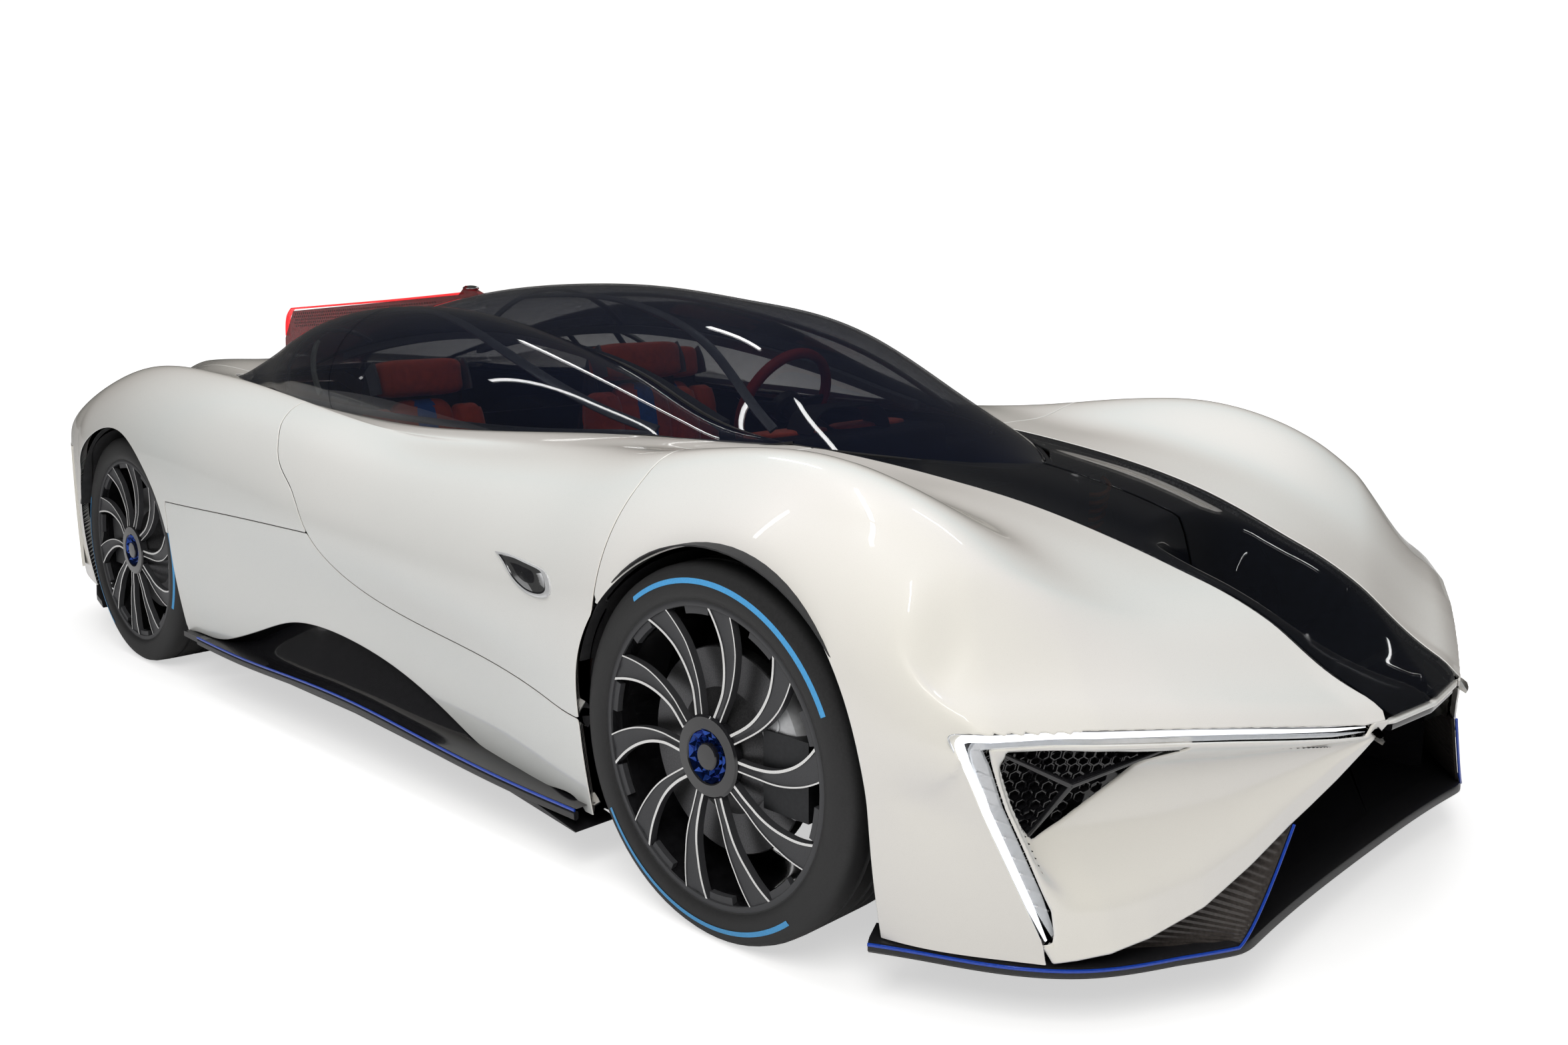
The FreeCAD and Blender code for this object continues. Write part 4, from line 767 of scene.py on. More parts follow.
def fangs():
    """White fangs with their scoops, cut for the lamp and the vent."""
    points, x, z = fang_grid()
    points = smooth_grid(points, 6)
    normals = grid_normals(points)
    if normals[90, 60, 1] > 0:
        normals = -normals
    places = np.stack([x.ravel() * MM, z.ravel() * MM], -1)
    in_vent = inside_distance(places, front_view(VENT))
    top = np.interp(x, FANG_X, FANG_TOP)
    below_bar = ((top - z) * MM - 0.026 * ease((x - 214) / 26) + 0.001).ravel()
    inside_leg = ((leg_x(z) - np.interp(z, [152, 182, 220, 330], [5, 20, 32, 37]) - x) * MM * 0.94).ravel()
    to_fender = ((leg_x(z) + 1.5 - x) * MM).ravel()
    beyond_tip = ((x - 180) * MM).ravel()
    low_edge = ((z - np.interp(x, FANG_X, FANG_BOTTOM)) * MM).ravel()
    below_leg = np.minimum((164 - z.ravel()) * MM, to_fender)
    inside = np.minimum.reduce([-in_vent, below_bar, np.maximum(inside_leg, below_leg), low_edge, beyond_tip])
    faces = grid_faces(*points.shape[:2])
    flat_points, flat_normals = points.reshape(-1, 3), normals.reshape(-1, 3)
    if (face_normals(flat_points, faces[:200]) * flat_normals[faces[:200, 0]]).sum() < 0:
        faces = faces[:, ::-1]
    roll = ((0.0, 0.004), (0.0012, 0.0018), (0.003, 0.0005), (0.006, 0.0))
    panel = rolled_panel(inside, 0.018, (flat_points, flat_normals, faces), 0.0004, roll)
    panel_pair("fang", panel, [PAINT])


fangs()


# Lamps

def swept(path, profile, up, closed_ends=True):
    """A profile of (outwards, upwards) points swept along a path; up is the second column's direction."""
    path, profile = np.asarray(path, float), np.asarray(profile, float)
    run = np.gradient(path, axis=0)
    run /= np.linalg.norm(run, axis=1, keepdims=True)
    up = np.broadcast_to(np.asarray(up, float), path.shape)
    side = np.cross(run, up)
    side /= np.linalg.norm(side, axis=1, keepdims=True)
    lift = np.cross(side, run)
    if profile.ndim == 2:
        profile = np.broadcast_to(profile, (len(path),) + profile.shape)
    rings = path[:, None] + side[:, None] * profile[..., :1] + lift[:, None] * profile[..., 1:]
    rows, columns = rings.shape[:2]
    index = np.arange(rows * columns).reshape(rows, columns)
    nxt = np.roll(index, -1, axis=1)
    faces = [index[:-1], index[1:], nxt[1:], nxt[:-1]]
    quads = np.stack([face.ravel() for face in faces], -1).tolist()
    if closed_ends:
        quads.append(index[0][::-1].tolist())
        quads.append(index[-1].tolist())
    return rings.reshape(-1, 3), quads


def poly_object(name, points, faces, materials, smooth=True, face_material=None):
    """A mesh object from points and faces of any size, with sharp edges where they turn."""
    mesh = bpy.data.meshes.new(name)
    mesh.from_pydata([tuple(point) for point in np.asarray(points, float)], [],
                     [tuple(face) for face in faces])
    for one in materials:
        mesh.materials.append(one)
    if face_material is not None:
        mesh.polygons.foreach_set("material_index", np.asarray(face_material, np.int32))
    mesh.validate()
    mesh.update()
    item = bpy.data.objects.new(name, mesh)
    bpy.context.scene.collection.objects.link(item)
    if smooth:
        for polygon in mesh.polygons:
            polygon.use_smooth = True
        mesh.set_sharp_from_angle(angle=math.radians(38))
    return item


def grid_quads(rows, columns):
    """Four cornered faces of a grid of points, row by row."""
    index = np.arange(rows * columns).reshape(rows, columns)
    return np.stack([index[:-1, :-1], index[:-1, 1:], index[1:, 1:], index[1:, :-1]],
                    -1).reshape(-1, 4).tolist()


def ring_faces(levels, around):
    """Faces between rings of points, each with around points."""
    index = np.arange(levels * around).reshape(levels, around)
    after = np.roll(index, -1, axis=1)
    return np.stack([index[:-1], after[:-1], after[1:], index[1:]], -1).reshape(-1, 4).tolist()


def joined_meshes(parts):
    """Several (points, faces) as one."""
    points, faces, start = [], [], 0
    for one_points, one_faces in parts:
        points.append(np.asarray(one_points, float))
        faces += [[index + start for index in face] for face in one_faces]
        start += len(one_points)
    return np.concatenate(points), faces


def mirrored_mesh(points, faces, side):
    """The mesh, or its mirror image for the right side."""
    if side > 0:
        return points, faces
    return np.asarray(points) * [-1, 1, 1], [list(face)[::-1] for face in faces]


def both_sides(name, points, faces, materials, body="chassis", slot=None, replaces=(), **extra):
    """The piece and its mirror image, as two pieces on one body or on a body of each side."""
    made = []
    for side_name, side in SIDES:
        p, f = mirrored_mesh(points, faces, side)
        item = poly_object("%s_%s" % (name, side_name), p, f, materials, **extra)
        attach(item, body[side_name] if isinstance(body, dict) else body)
        if replaces:
            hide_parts(*[node.replace("SIDE", side_name) for node in replaces])
        made.append(item)
    return made


def round_profile(width, height, corner=0.25, steps=4):
    """A rounded rectangle, centred, as (outwards, upwards) points."""
    radius = min(width, height) * corner
    points = []
    for sign_x, sign_y, start in ((1, -1, -90), (1, 1, 0), (-1, 1, 90), (-1, -1, 180)):
        centre = (sign_x * (width / 2 - radius), sign_y * (height / 2 - radius))
        for step in range(steps + 1):
            angle = math.radians(start + 90 * step / steps)
            points.append((centre[0] + radius * math.cos(angle), centre[1] + radius * math.sin(angle)))
    return np.array(points)


def lamp_light():
    """Lit white of the lamps."""
    made = material("lamp_light", (0.95, 0.96, 1.0), 0.25)
    shader = made.node_tree.nodes["Principled BSDF"]
    shader.inputs["Emission Color"].default_value = (0.93, 0.96, 1.0, 1)
    shader.inputs["Emission Strength"].default_value = 0.9
    return wear(made, (0.95, 0.96, 1.0), 300, 0.03, 0.25, 0.05)


LIGHT = lamp_light()
CHROME = surface("chrome", (0.80, 0.81, 0.83), 0.08, 1.0, (120, 0.05, 0.04))
CLEAR = material("clear_lens", (0.75, 0.78, 0.82), 0.03, 0.0, Alpha=0.35, Coat_Weight=1.0)
wear(CLEAR, (0.75, 0.78, 0.82), 80, 0.04, 0.03, 0.02)
GLOSS_BLACK = surface("gloss_black", (0.012, 0.012, 0.014), 0.12, 0.0, (90, 0.2, 0.05), Coat_Weight=0.6)


LAMP_START = 232
LAMP_END = 170


def lamp_path(bar_inset, leg_inset, sink, start=LAMP_START, end=LAMP_END, corner=16):
    """A line along the bar and down the leg, inset from the opening's edge in millimetres."""
    corner_z = 520.0
    for _ in range(8):
        corner_x = leg_x(corner_z) - leg_inset
        corner_z = float(np.interp(corner_x, FANG_X, FANG_TOP)) - bar_inset
    bar_x = np.linspace(start, corner_x - corner, 70)
    bar_z = np.interp(bar_x, FANG_X, FANG_TOP) - bar_inset
    leg_z = np.linspace(corner_z - corner, end, 44)
    leg_at = leg_x(leg_z) - leg_inset
    bend = np.linspace(0, 1, 9)[1:-1, None]
    first, last = np.array([bar_x[-1], bar_z[-1]]), np.array([leg_at[0], leg_z[0]])
    turn = first * (1 - bend) ** 2 + np.array([corner_x, corner_z]) * 2 * bend * (1 - bend) + last * bend ** 2
    x = np.concatenate([bar_x, turn[:, 0], leg_at])
    z = np.concatenate([bar_z, turn[:, 1], leg_z])
    return np.stack([x * MM, FRONT + (face_back(x, z) + sink) * MM, z * MM], -1)


FACING = (0.42, -0.90, 0.10)


def lamp_band(path, widths, thickness, corner=0.3):
    """A band along a lamp line; widths are at its start, before its corner, after it and at its end."""
    along = np.linspace(0, 1, len(path))
    split = 73 / len(path)
    width = np.interp(along, [0, 0.06, split - 0.02, split + 0.06, 0.93, 1],
                      [widths[0] * 0.3, widths[0], widths[1], widths[2], widths[3], widths[3] * 0.35])
    profile = np.stack([round_profile(one, min(thickness, one), corner) for one in width])
    return swept(path, profile, FACING)


def lamps():
    """Light bars under the lip of the nose and down its outer end, with clear lenses and chrome backing."""
    points, faces = lamp_band(lamp_path(9, 10, 6), (0.006, 0.012, 0.016, 0.012), 0.010)
    both_sides("lamp_light", points, faces, [LIGHT], slot="lamp_white", replaces=["headlamps"])
    chrome = [lamp_band(lamp_path(20, 28, 13, end=172), (0.008, 0.013, 0.022, 0.022), 0.006, 0.1),
              lamp_band(lamp_path(2.5, 2.5, 5), (0.0015, 0.002, 0.003, 0.002), 0.010, 0.1)]
    inner = lamp_path(20, 29, 10, end=190)[82:]
    for number in range(9):
        place = inner[int(number * (len(inner) - 1) / 9)]
        fin = np.array([place + [0.013, 0.006, 0.006], place + [-0.012, -0.004, -0.008]])
        chrome.append(swept(fin, round_profile(0.0035, 0.008, 0.1), FACING))
    points, faces = joined_meshes(chrome)
    both_sides("lamp_chrome", points, faces, [CHROME])
    points, faces = lamp_band(lamp_path(18, 25, 7, end=178), (0.006, 0.017, 0.030, 0.022), 0.004, 0.3)
    both_sides("lamp_lens", points, faces, [CLEAR])
    housing = lamp_band(lamp_path(16, 22, 30, start=214, end=166), (0.020, 0.036, 0.052, 0.030), 0.006, 0.1)
    both_sides("lamp_housing", *housing, [GLOSS_BLACK])


lamps()


def vent():
    """Black honeycomb in the triangle beside the lamp, with a three armed star in front of it."""
    corners = np.array([fang_point(x, z) for x, z in VENT])
    deep = [0.026, 0.034, 0.016]
    corners[:, 1] += deep
    normal = np.cross(corners[1] - corners[0], corners[2] - corners[0])
    normal /= np.linalg.norm(normal)
    if normal[1] > 0:
        normal = -normal
    across = corners[1] - corners[0]
    across /= np.linalg.norm(across)
    upward = np.cross(normal, across)
    flat = np.array([[(corner - corners[0]) @ across, (corner - corners[0]) @ upward] for corner in corners])
    pitch, wall, depth = 0.0200, 0.0022, 0.012
    parts = []
    low, high = flat.min(0) - pitch, flat.max(0) + pitch
    for row in range(int((high[1] - low[1]) / (pitch * 0.866)) + 1):
        for column in range(int((high[0] - low[0]) / pitch) + 1):
            centre = low + [(column + 0.5 * (row % 2)) * pitch, row * pitch * 0.866]
            if inside_distance(centre[None], flat)[0] < -pitch * 0.10:
                continue
            ring = [(math.cos(math.radians(60 * k + 30)), math.sin(math.radians(60 * k + 30)))
                    for k in range(6)]
            points, faces = [], []
            for radius, sink in ((pitch / 1.732, 0), (pitch / 1.732 - wall, 0),
                                 (pitch / 1.732 - wall, depth)):
                for a, b in ring:
                    place = centre + np.array([a, b]) * radius
                    points.append(corners[0] + across * place[0] + upward * place[1] - normal * sink)
            for k in range(6):
                m = (k + 1) % 6
                faces += [[k, m, 6 + m, 6 + k], [6 + k, 6 + m, 12 + m, 12 + k]]
            points = np.array(points)
            skin = fang_point(points[:6, 0] / MM, points[:6, 2] / MM)[:, 1]
            points[:, 1] += max(0.0, float((skin + 0.006 - points[:6, 1]).max()))
            parts.append((points, faces))
    back = [corner - normal * (depth + 0.030) for corner in corners + (corners - corners.mean(0)) * 0.16]
    parts.append((back, [[0, 1, 2]]))
    points, faces = joined_meshes(parts)
    both_sides("vent_honeycomb", points, faces, [GLOSS_BLACK], slot="black_plastic",
               replaces=["nose_grilles"],
               smooth=False)
    hub = corners.mean(0) + normal * 0.020
    arms = []
    for corner in corners:
        path = np.linspace(hub, corner + normal * 0.004, 6)
        width = np.interp(np.linspace(0, 1, 6), [0, 1], [1.0, 0.55])[:, None, None]
        arms.append(swept(path, round_profile(0.010, 0.014, 0.3) * width, normal))
    points, faces = joined_meshes(arms)
    both_sides("vent_star", points, faces, [GLOSS_BLACK])


vent()

# Hood glass strip and its pale frame line
STRIP_BAND = 0.009
HOOD_GLASS = material("hood_glass", (0.004, 0.005, 0.008), 0.03, 0.0, Alpha=0.62, Coat_Weight=0.6)
wear(HOOD_GLASS, (0.004, 0.005, 0.008), 60, 0.2, 0.035, 0.02)
FRAME_GREY = surface("frame_grey", (0.42, 0.43, 0.45), 0.28, 1.0, (200, 0.08, 0.06))


NOSE_CORNER = 0.030


def rounded_both(first, second, radius):
    """The common part of two fields with its outer corner rounded."""
    deep = np.maximum(radius - first, 0) ** 2 + np.maximum(radius - second, 0) ** 2
    return np.minimum(np.minimum(first, second), radius - np.sqrt(deep))


def hood_strip():
    """The hood's dark glass and the frame round it, the nose lip and the black edge under it."""
    to_lip = lip_distance.ravel()
    nose = rounded_both(IN_STRIP, to_lip - 0.004, NOSE_CORNER)
    middle = np.minimum(nose, -IN_CABIN)
    glass = np.minimum(nose - STRIP_BAND * ease((to_lip - 0.02) / 0.05), -IN_CABIN)
    points, faces, normals = rolled_panel(np.minimum(middle, -glass), 0.014, seam=0.0004)
    sunk = points - np.array([0, 0, 0.0035])
    panel_pair("strip_frame", (sunk, faces, normals), [FRAME_GREY])
    points, faces, normals = rolled_panel(glass, 0.006, seam=0.0004)
    points = points - np.array([0, 0, 0.002])
    p, n, f = two_sided(points, normals, faces, -1)
    count = len(points)
    item = mesh_object("hood_glass_sheet", np.concatenate([points, p]), np.concatenate([faces, f + count]),
                       np.concatenate([normals, n]), [HOOD_GLASS])
    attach(item, "chassis")
    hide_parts("hood_glass")
    across = np.linspace(-179, 179, 41)
    lip = np.stack([across * MM, FRONT + (lip_back(np.abs(across)) + 9) * MM, np.full(41, 0.4480)], -1)
    size = np.interp(np.abs(np.linspace(-1, 1, 80)), [0, 0.86, 1], [1, 1, 0.45])[:, None, None]
    points, faces = swept(smooth_line(lip, 80), round_profile(0.016, 0.009, 0.45, 5) * size, (0, 0, 1))
    item = poly_object("nose_lip", points, faces, [PAINT])
    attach(item, "chassis")
    under = lip[3:-3] + [0, 0.014, -0.012]
    points, faces = swept(under, round_profile(0.030, 0.016, 0.3), (0, 0, 1))
    item = poly_object("nose_under_lip", points, faces, [GLOSS_BLACK])
    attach(item, "chassis")


hood_strip()


# Glass bubbles, as the part has them: the centre one on the valley lines, each outer one from its valley to
# the waist.
CENTRE_BUBBLE = [
    # back, half_width, edge_z, top_z
    (-64, 46, 812, 822), (-50, 60, 812, 823), (114, 224, 834,
                                               879), (336, 350, 856, 990), (600, 384, 900, 1120),
    (900, 339, 985, 1177), (1250, 303, 1052, 1214), (1600, 286, 1084, 1222), (1900, 285, 1080, 1210),
    (2250, 288, 1048, 1170), (2600, 286, 990, 1090), (2973, 262, 900, 936),
]
OUTER_BUBBLE = [
    # back, valley_x, valley_z, waist_x, waist_z, bulge
    (372, 362, 868, 368, 866, 1), (400, 366, 868, 414, 862, 6), (600, 390, 900, 517, 869, 22),
    (900, 345, 985, 592, 858, 62), (1250, 309, 1052, 682, 848, 135), (1600, 292, 1084, 712, 849, 178),
    (1900, 291, 1080, 714, 857, 180), (2250, 294, 1048, 686, 868, 150), (2600, 292, 990, 600, 886, 85),
    (2880, 274, 930, 543, 898, 25), (2960, 266, 905, 508, 903, 8),
]
GLASS_THICK = 0.005


def arc_between(start, end, rise, shares):
    """Points in a plane on the arc from start to end that rises by rise on the left of that way."""
    run = end - start
    chord = np.hypot(*run)
    left = np.array([-run[1], run[0]]) / chord
    radius = (chord ** 2 / 4 + rise ** 2) / (2 * rise)
    centre = (start + end) / 2 + left * (rise - radius)
    half = math.atan2(chord / 2, radius - rise)
    angle = half * (1 - 2 * shares)
    return centre + radius * (np.cos(angle)[:, None] * left - np.sin(angle)[:, None] * run / chord)


def bubble_grid(table, rows, columns, centre):
    """A bubble as a grid of points, front to back and from its right or outer edge across."""
    table = np.array(table, float)
    backs = np.linspace(table[0, 0], table[-1, 0], rows)
    rows_of = natural_spline(table[:, 0], table[:, 1:], backs)
    shares = np.linspace(0, 1, columns)
    points = np.zeros((rows, columns, 3))
    for row, (back, values) in enumerate(zip(backs, rows_of)):
        if centre:
            half, edge_z, top_z = values
            flat = arc_between(np.array([-half, edge_z]), np.array([half, edge_z]), top_z - edge_z, shares)
        else:
            valley_x, valley_z, waist_x, waist_z, bulge = values
            flat = arc_between(np.array([valley_x, valley_z]), np.array([waist_x, waist_z]), max(bulge, 0.5),
                               shares)
        points[row, :, 0] = flat[:, 0] * MM
        points[row, :, 1] = FRONT + back * MM
        points[row, :, 2] = flat[:, 1] * MM
    return points


def upward_normals(points):
    """Normals of a grid, turned so that the middle one points up."""
    normals = grid_normals(points)
    return normals if normals[len(points) // 2, points.shape[1] // 2, 2] > 0 else -normals


def skin_of(points):
    """A grid as the points, normals and triangles that a panel is cut from."""
    normals = upward_normals(points)
    faces = grid_faces(*points.shape[:2])
    flat, flat_normals = points.reshape(-1, 3), normals.reshape(-1, 3)
    turned = (face_normals(flat, faces) * flat_normals[faces[:, 0]]).sum(1).mean() < 0
    return flat, flat_normals, faces[:, ::-1] if turned else faces


def smoked_glass(name, tint, clear, dense):
    """Smoked glass; clear and dense are how much it hides face on and edge on."""
    made = material(name, tint, 0.02, 0.0, Coat_Weight=1.0, Coat_Roughness=0.01)
    wear(made, tint, 14, 0.10, 0.020, 0.004)
    tree = made.node_tree
    nodes, links = tree.nodes, tree.links
    facing = nodes.new("ShaderNodeLayerWeight")
    facing.inputs["Blend"].default_value = 0.30
    span = nodes.new("ShaderNodeMapRange")
    span.inputs["To Min"].default_value = clear
    span.inputs["To Max"].default_value = dense
    links.new(facing.outputs["Facing"], span.inputs["Value"])
    links.new(span.outputs["Result"], nodes["Principled BSDF"].inputs["Alpha"])
    return made


SMOKED = smoked_glass("smoked_glass", (0.003, 0.005, 0.014), 0.36, 0.90)
SEAL = surface("rubber_seal", (0.012, 0.012, 0.013), 0.5, 0.0, (150, 0.2, 0.1), (0.2, 700))
PALE_STRUT = surface("pale_strut", (0.36, 0.40, 0.37), 0.40, 0.0, (90, 0.1, 0.08))
SATIN_FRAME = surface("satin_frame", (0.30, 0.32, 0.36), 0.32, 0.7, (150, 0.1, 0.08))

CENTRE_POINTS = bubble_grid(CENTRE_BUBBLE, 130, 72, True)
OUTER_POINTS = bubble_grid(OUTER_BUBBLE, 120, 48, False)


def door_side(points):
    """Signed distance of points from the door's outline in the side view, positive inside."""
    return inside_distance(points[:, [1, 2]], door_outline)


def glass():
    """The three bubbles, the outer ones cut where the doors open."""
    flat, normals, faces = skin_of(CENTRE_POINTS)
    p, f, n = thick_panel(flat, faces, normals, GLASS_THICK)
    item = mesh_object("centre_bubble", p, f, n, [SMOKED])
    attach(item, "chassis")
    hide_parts("canopy_glass")
    skin = skin_of(OUTER_POINTS)
    inside = door_side(skin[0])
    for name, share, bodies, node in (("door_bubble", inside, DOORS, "door_glass_SIDE"),
                                      ("quarter_bubble", -inside, FIXED, "quarter_glass")):
        panel = rolled_panel(share, GLASS_THICK, skin, 0.0015, ((0.0, 0.0008), (0.001, 0.0)))
        panel_pair(name, panel, [SMOKED], bodies, node)


glass()


def on_grid(points, row_share, column_share):
    """Places on a grid surface by share of its rows and columns, with their normals."""
    rows, columns = points.shape[:2]
    normals = upward_normals(points)
    r = np.clip(np.asarray(row_share) * (rows - 1), 0, rows - 1.001)
    c = np.clip(np.asarray(column_share) * (columns - 1), 0, columns - 1.001)
    r0, c0 = r.astype(int), c.astype(int)
    fr, fc = (r - r0)[:, None], (c - c0)[:, None]

    def mixed(grid):
        return ((grid[r0, c0] * (1 - fr) + grid[r0 + 1, c0] * fr) * (1 - fc)
                + (grid[r0, c0 + 1] * (1 - fr) + grid[r0 + 1, c0 + 1] * fr) * fc)

    found = mixed(normals)
    return mixed(points), found / np.linalg.norm(found, axis=1, keepdims=True)


def strip_inside(points, row_share, column_share, width, thick, inset):
    """A flat strip that follows the inside of a bubble along a line of (row, column) shares."""
    line = smooth_line(np.stack([row_share, column_share], -1), 90)
    places, normals = on_grid(points, line[:, 0], line[:, 1])
    places = places - normals * (GLASS_THICK + inset)
    return swept(places, round_profile(width, thick, 0.3, 2), normals)


def canopy_frames():
    """Grey strips inside the bubbles: the oval, post and strut of each side window and the roof's lines."""
    oval_rows = [0.705, 0.72, 0.70, 0.64, 0.56, 0.46, 0.34, 0.22, 0.12]
    oval_columns = [0.93, 0.70, 0.48, 0.36, 0.33, 0.38, 0.50, 0.66, 0.86]
    oval = strip_inside(OUTER_POINTS, oval_rows, oval_columns, 0.026, 0.006, 0.006)
    low_rows = [0.12, 0.22, 0.34, 0.46, 0.58, 0.70]
    low = strip_inside(OUTER_POINTS, low_rows, [0.95, 0.965, 0.965, 0.965, 0.965, 0.965], 0.018, 0.006, 0.006)
    points, faces = joined_meshes([oval, low])
    both_sides("window_frame", points, faces, [SATIN_FRAME], body=DOORS)
    strut = strip_inside(OUTER_POINTS, [0.70, 0.665, 0.63], [0.60, 0.76, 0.93], 0.020, 0.010, 0.030)
    both_sides("window_strut", *strut, [PALE_STRUT], body=DOORS)
    post = strip_inside(OUTER_POINTS, [0.775, 0.795, 0.79, 0.775, 0.765], [0.98, 0.75, 0.5, 0.25, 0.03],
                        0.022, 0.008, 0.006)
    both_sides("quarter_post", *post, [SATIN_FRAME])
    hoop = strip_inside(CENTRE_POINTS, [0.60] * 7, [0.02, 0.15, 0.32, 0.5, 0.68, 0.85, 0.98], 0.030, 0.008,
                        0.010)
    lines = []
    for edge in (0.30, 0.70):
        toward = 1 if edge > 0.5 else -1
        lines.append(strip_inside(CENTRE_POINTS, [0.60, 0.50, 0.38, 0.27, 0.17],
                                  [edge, edge - 0.02 * toward, edge + 0.03 * toward, edge + 0.12 * toward,
                                   edge + 0.26 * toward], 0.024, 0.007, 0.010))
    points, faces = joined_meshes([hoop] + lines)
    item = poly_object("roof_hoop", points, faces, [SATIN_FRAME])
    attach(item, "chassis")
    valley = CENTRE_POINTS[:, -1] + [0.003, 0, -0.001]
    seal = swept(valley, round_profile(0.010, 0.008, 0.4, 3), (0, 0, 1))
    foot = OUTER_POINTS[:, -1] + [0.001, 0, 0.0005]
    both_sides("valley_seal", *seal, [SEAL])
    both_sides("waist_seal", *swept(foot, round_profile(0.007, 0.005, 0.4, 2), (0, 0, 1)), [SEAL])


canopy_frames()


# Wheels. Distances across are from the middle of the tyre, outwards. Angles are in the side view from
# straight ahead.
def turned(profile, segments, centre, start=0.0, stop=360.0, closed=False):
    """A profile of (across, radius) points turned about the wheel's axis."""
    profile = np.asarray(profile, float)
    whole = stop - start >= 360
    count = segments if whole else segments + 1
    angles = np.radians(np.linspace(start, stop, segments + 1)[:count])
    points = np.zeros((count, len(profile), 3))
    points[..., 0] = centre[0] + profile[None, :, 0]
    points[..., 1] = centre[1] - profile[None, :, 1] * np.cos(angles)[:, None]
    points[..., 2] = centre[2] + profile[None, :, 1] * np.sin(angles)[:, None]
    index = np.arange(count * len(profile)).reshape(count, len(profile))
    next_ring = np.roll(index, -1, axis=0) if whole else index[1:]
    ring = index if whole else index[:-1]
    if closed:
        quads = np.stack([ring, next_ring, np.roll(next_ring, -1, 1), np.roll(ring, -1, 1)], -1)
    else:
        quads = np.stack([ring[:, :-1], next_ring[:, :-1], next_ring[:, 1:], ring[:, 1:]], -1)
    faces = quads.reshape(-1, 4).tolist()
    if closed and not whole:
        faces.append(index[0].tolist())
        faces.append(index[-1][::-1].tolist())
    return points.reshape(-1, 3), faces


RUBBER = material("tyre_rubber", (0.022, 0.022, 0.023), 0.62)
wear(RUBBER, (0.022, 0.022, 0.023), 220, 0.18, 0.60, 0.08, 0.25, 900)
SKY_BLUE = surface("sky_blue_mark", (0.075, 0.36, 0.72), 0.55, 0.0, (300, 0.08, 0.05))
BARREL_BLACK = wear(material("barrel_black", (0.008, 0.008, 0.009), 0.10, 0.0, Coat_Weight=0.8),
                    (0.008, 0.008, 0.009), 60, 0.3, 0.11, 0.05)
BLADE_GREY = surface("blade_grey", (0.060, 0.061, 0.066), 0.46, 0.35, (500, 0.12, 0.08), (0.15, 1500))
BLADE_SILVER = surface("blade_silver", (0.78, 0.78, 0.77), 0.22, 0.9, (400, 0.05, 0.06))
BLUE_METAL = surface("blue_anodised", (0.010, 0.055, 0.32), 0.18, 1.0, (200, 0.25, 0.06), Coat_Weight=0.5)
DISC_STEEL = surface("brake_disc", (0.10, 0.10, 0.105), 0.34, 0.8, (60, 0.25, 0.1), (0.1, 500, (1, 6, 6)))
CALIPER_SILVER = surface("caliper_silver", (0.60, 0.61, 0.63), 0.34, 0.35, (90, 0.08, 0.08))

WIDE_EDGE = ((0.074, 4.5), (0.100, 1.2), (0.150, 0.0), (0.200, 3.3), (0.245, 8.0), (0.284, 13.0))
THIN_EDGE = ((0.074, -11.5), (0.100, -10.8), (0.150, -9.6), (0.195, -7.2), (0.240, -3.6), (0.284, 0.6))
BLADE_COUNT = 10
BLADE_START = 4.0
HUB_R = 0.080
RING_R = 0.284


def edge_angle(table, radius):
    """Angle of a blade's edge at a radius, from a table."""
    table = np.array(table)
    return natural_spline(table[:, 0], table[:, 1], radius)


def blade(face, depth, turn, centre):
    """One blade of the rim: a grey band between two machined edges."""
    radius = np.linspace(0.074, RING_R, 26)
    wide, thin = edge_angle(WIDE_EDGE, radius), edge_angle(THIN_EDGE, radius)
    level = face + np.interp(radius, [0.074, 0.13, 0.22, 0.284], [-0.002, -0.007, -0.006, 0.0])
    per_mm = np.degrees(0.001 / radius)
    across = [(wide, -depth), (wide, 0), (wide - 5.6 * per_mm, 0), (wide - 6.4 * per_mm, -0.0022),
              ((wide + thin) / 2, -0.0045), (thin + 3.8 * per_mm,
                                             -0.0022), (thin + 3.0 * per_mm, 0), (thin, 0),
              (thin, -depth)]
    points = np.zeros((len(radius), len(across), 3))
    for k, (angle, sink) in enumerate(across):
        turned_by = np.radians(angle + turn)
        points[:, k, 0] = centre[0] + level + sink
        points[:, k, 1] = centre[1] - radius * np.cos(turned_by)
        points[:, k, 2] = centre[2] + radius * np.sin(turned_by)
    index = np.arange(points[..., 0].size).reshape(points.shape[:2])
    quads, kinds = [], []
    kind_of = [1, 0, 1, 1, 1, 1, 0, 1]
    for row in range(len(radius) - 1):
        for k in range(len(across) - 1):
            quads.append([index[row, k], index[row, k + 1], index[row + 1, k + 1], index[row + 1, k]])
            kinds.append(kind_of[k])
        quads.append([index[row, -1], index[row, 0], index[row + 1, 0], index[row + 1, -1]])
        kinds.append(2)
    for row in (0, -1):
        quads.append(index[row].tolist())
        kinds.append(1)
    return points.reshape(-1, 3), quads, kinds


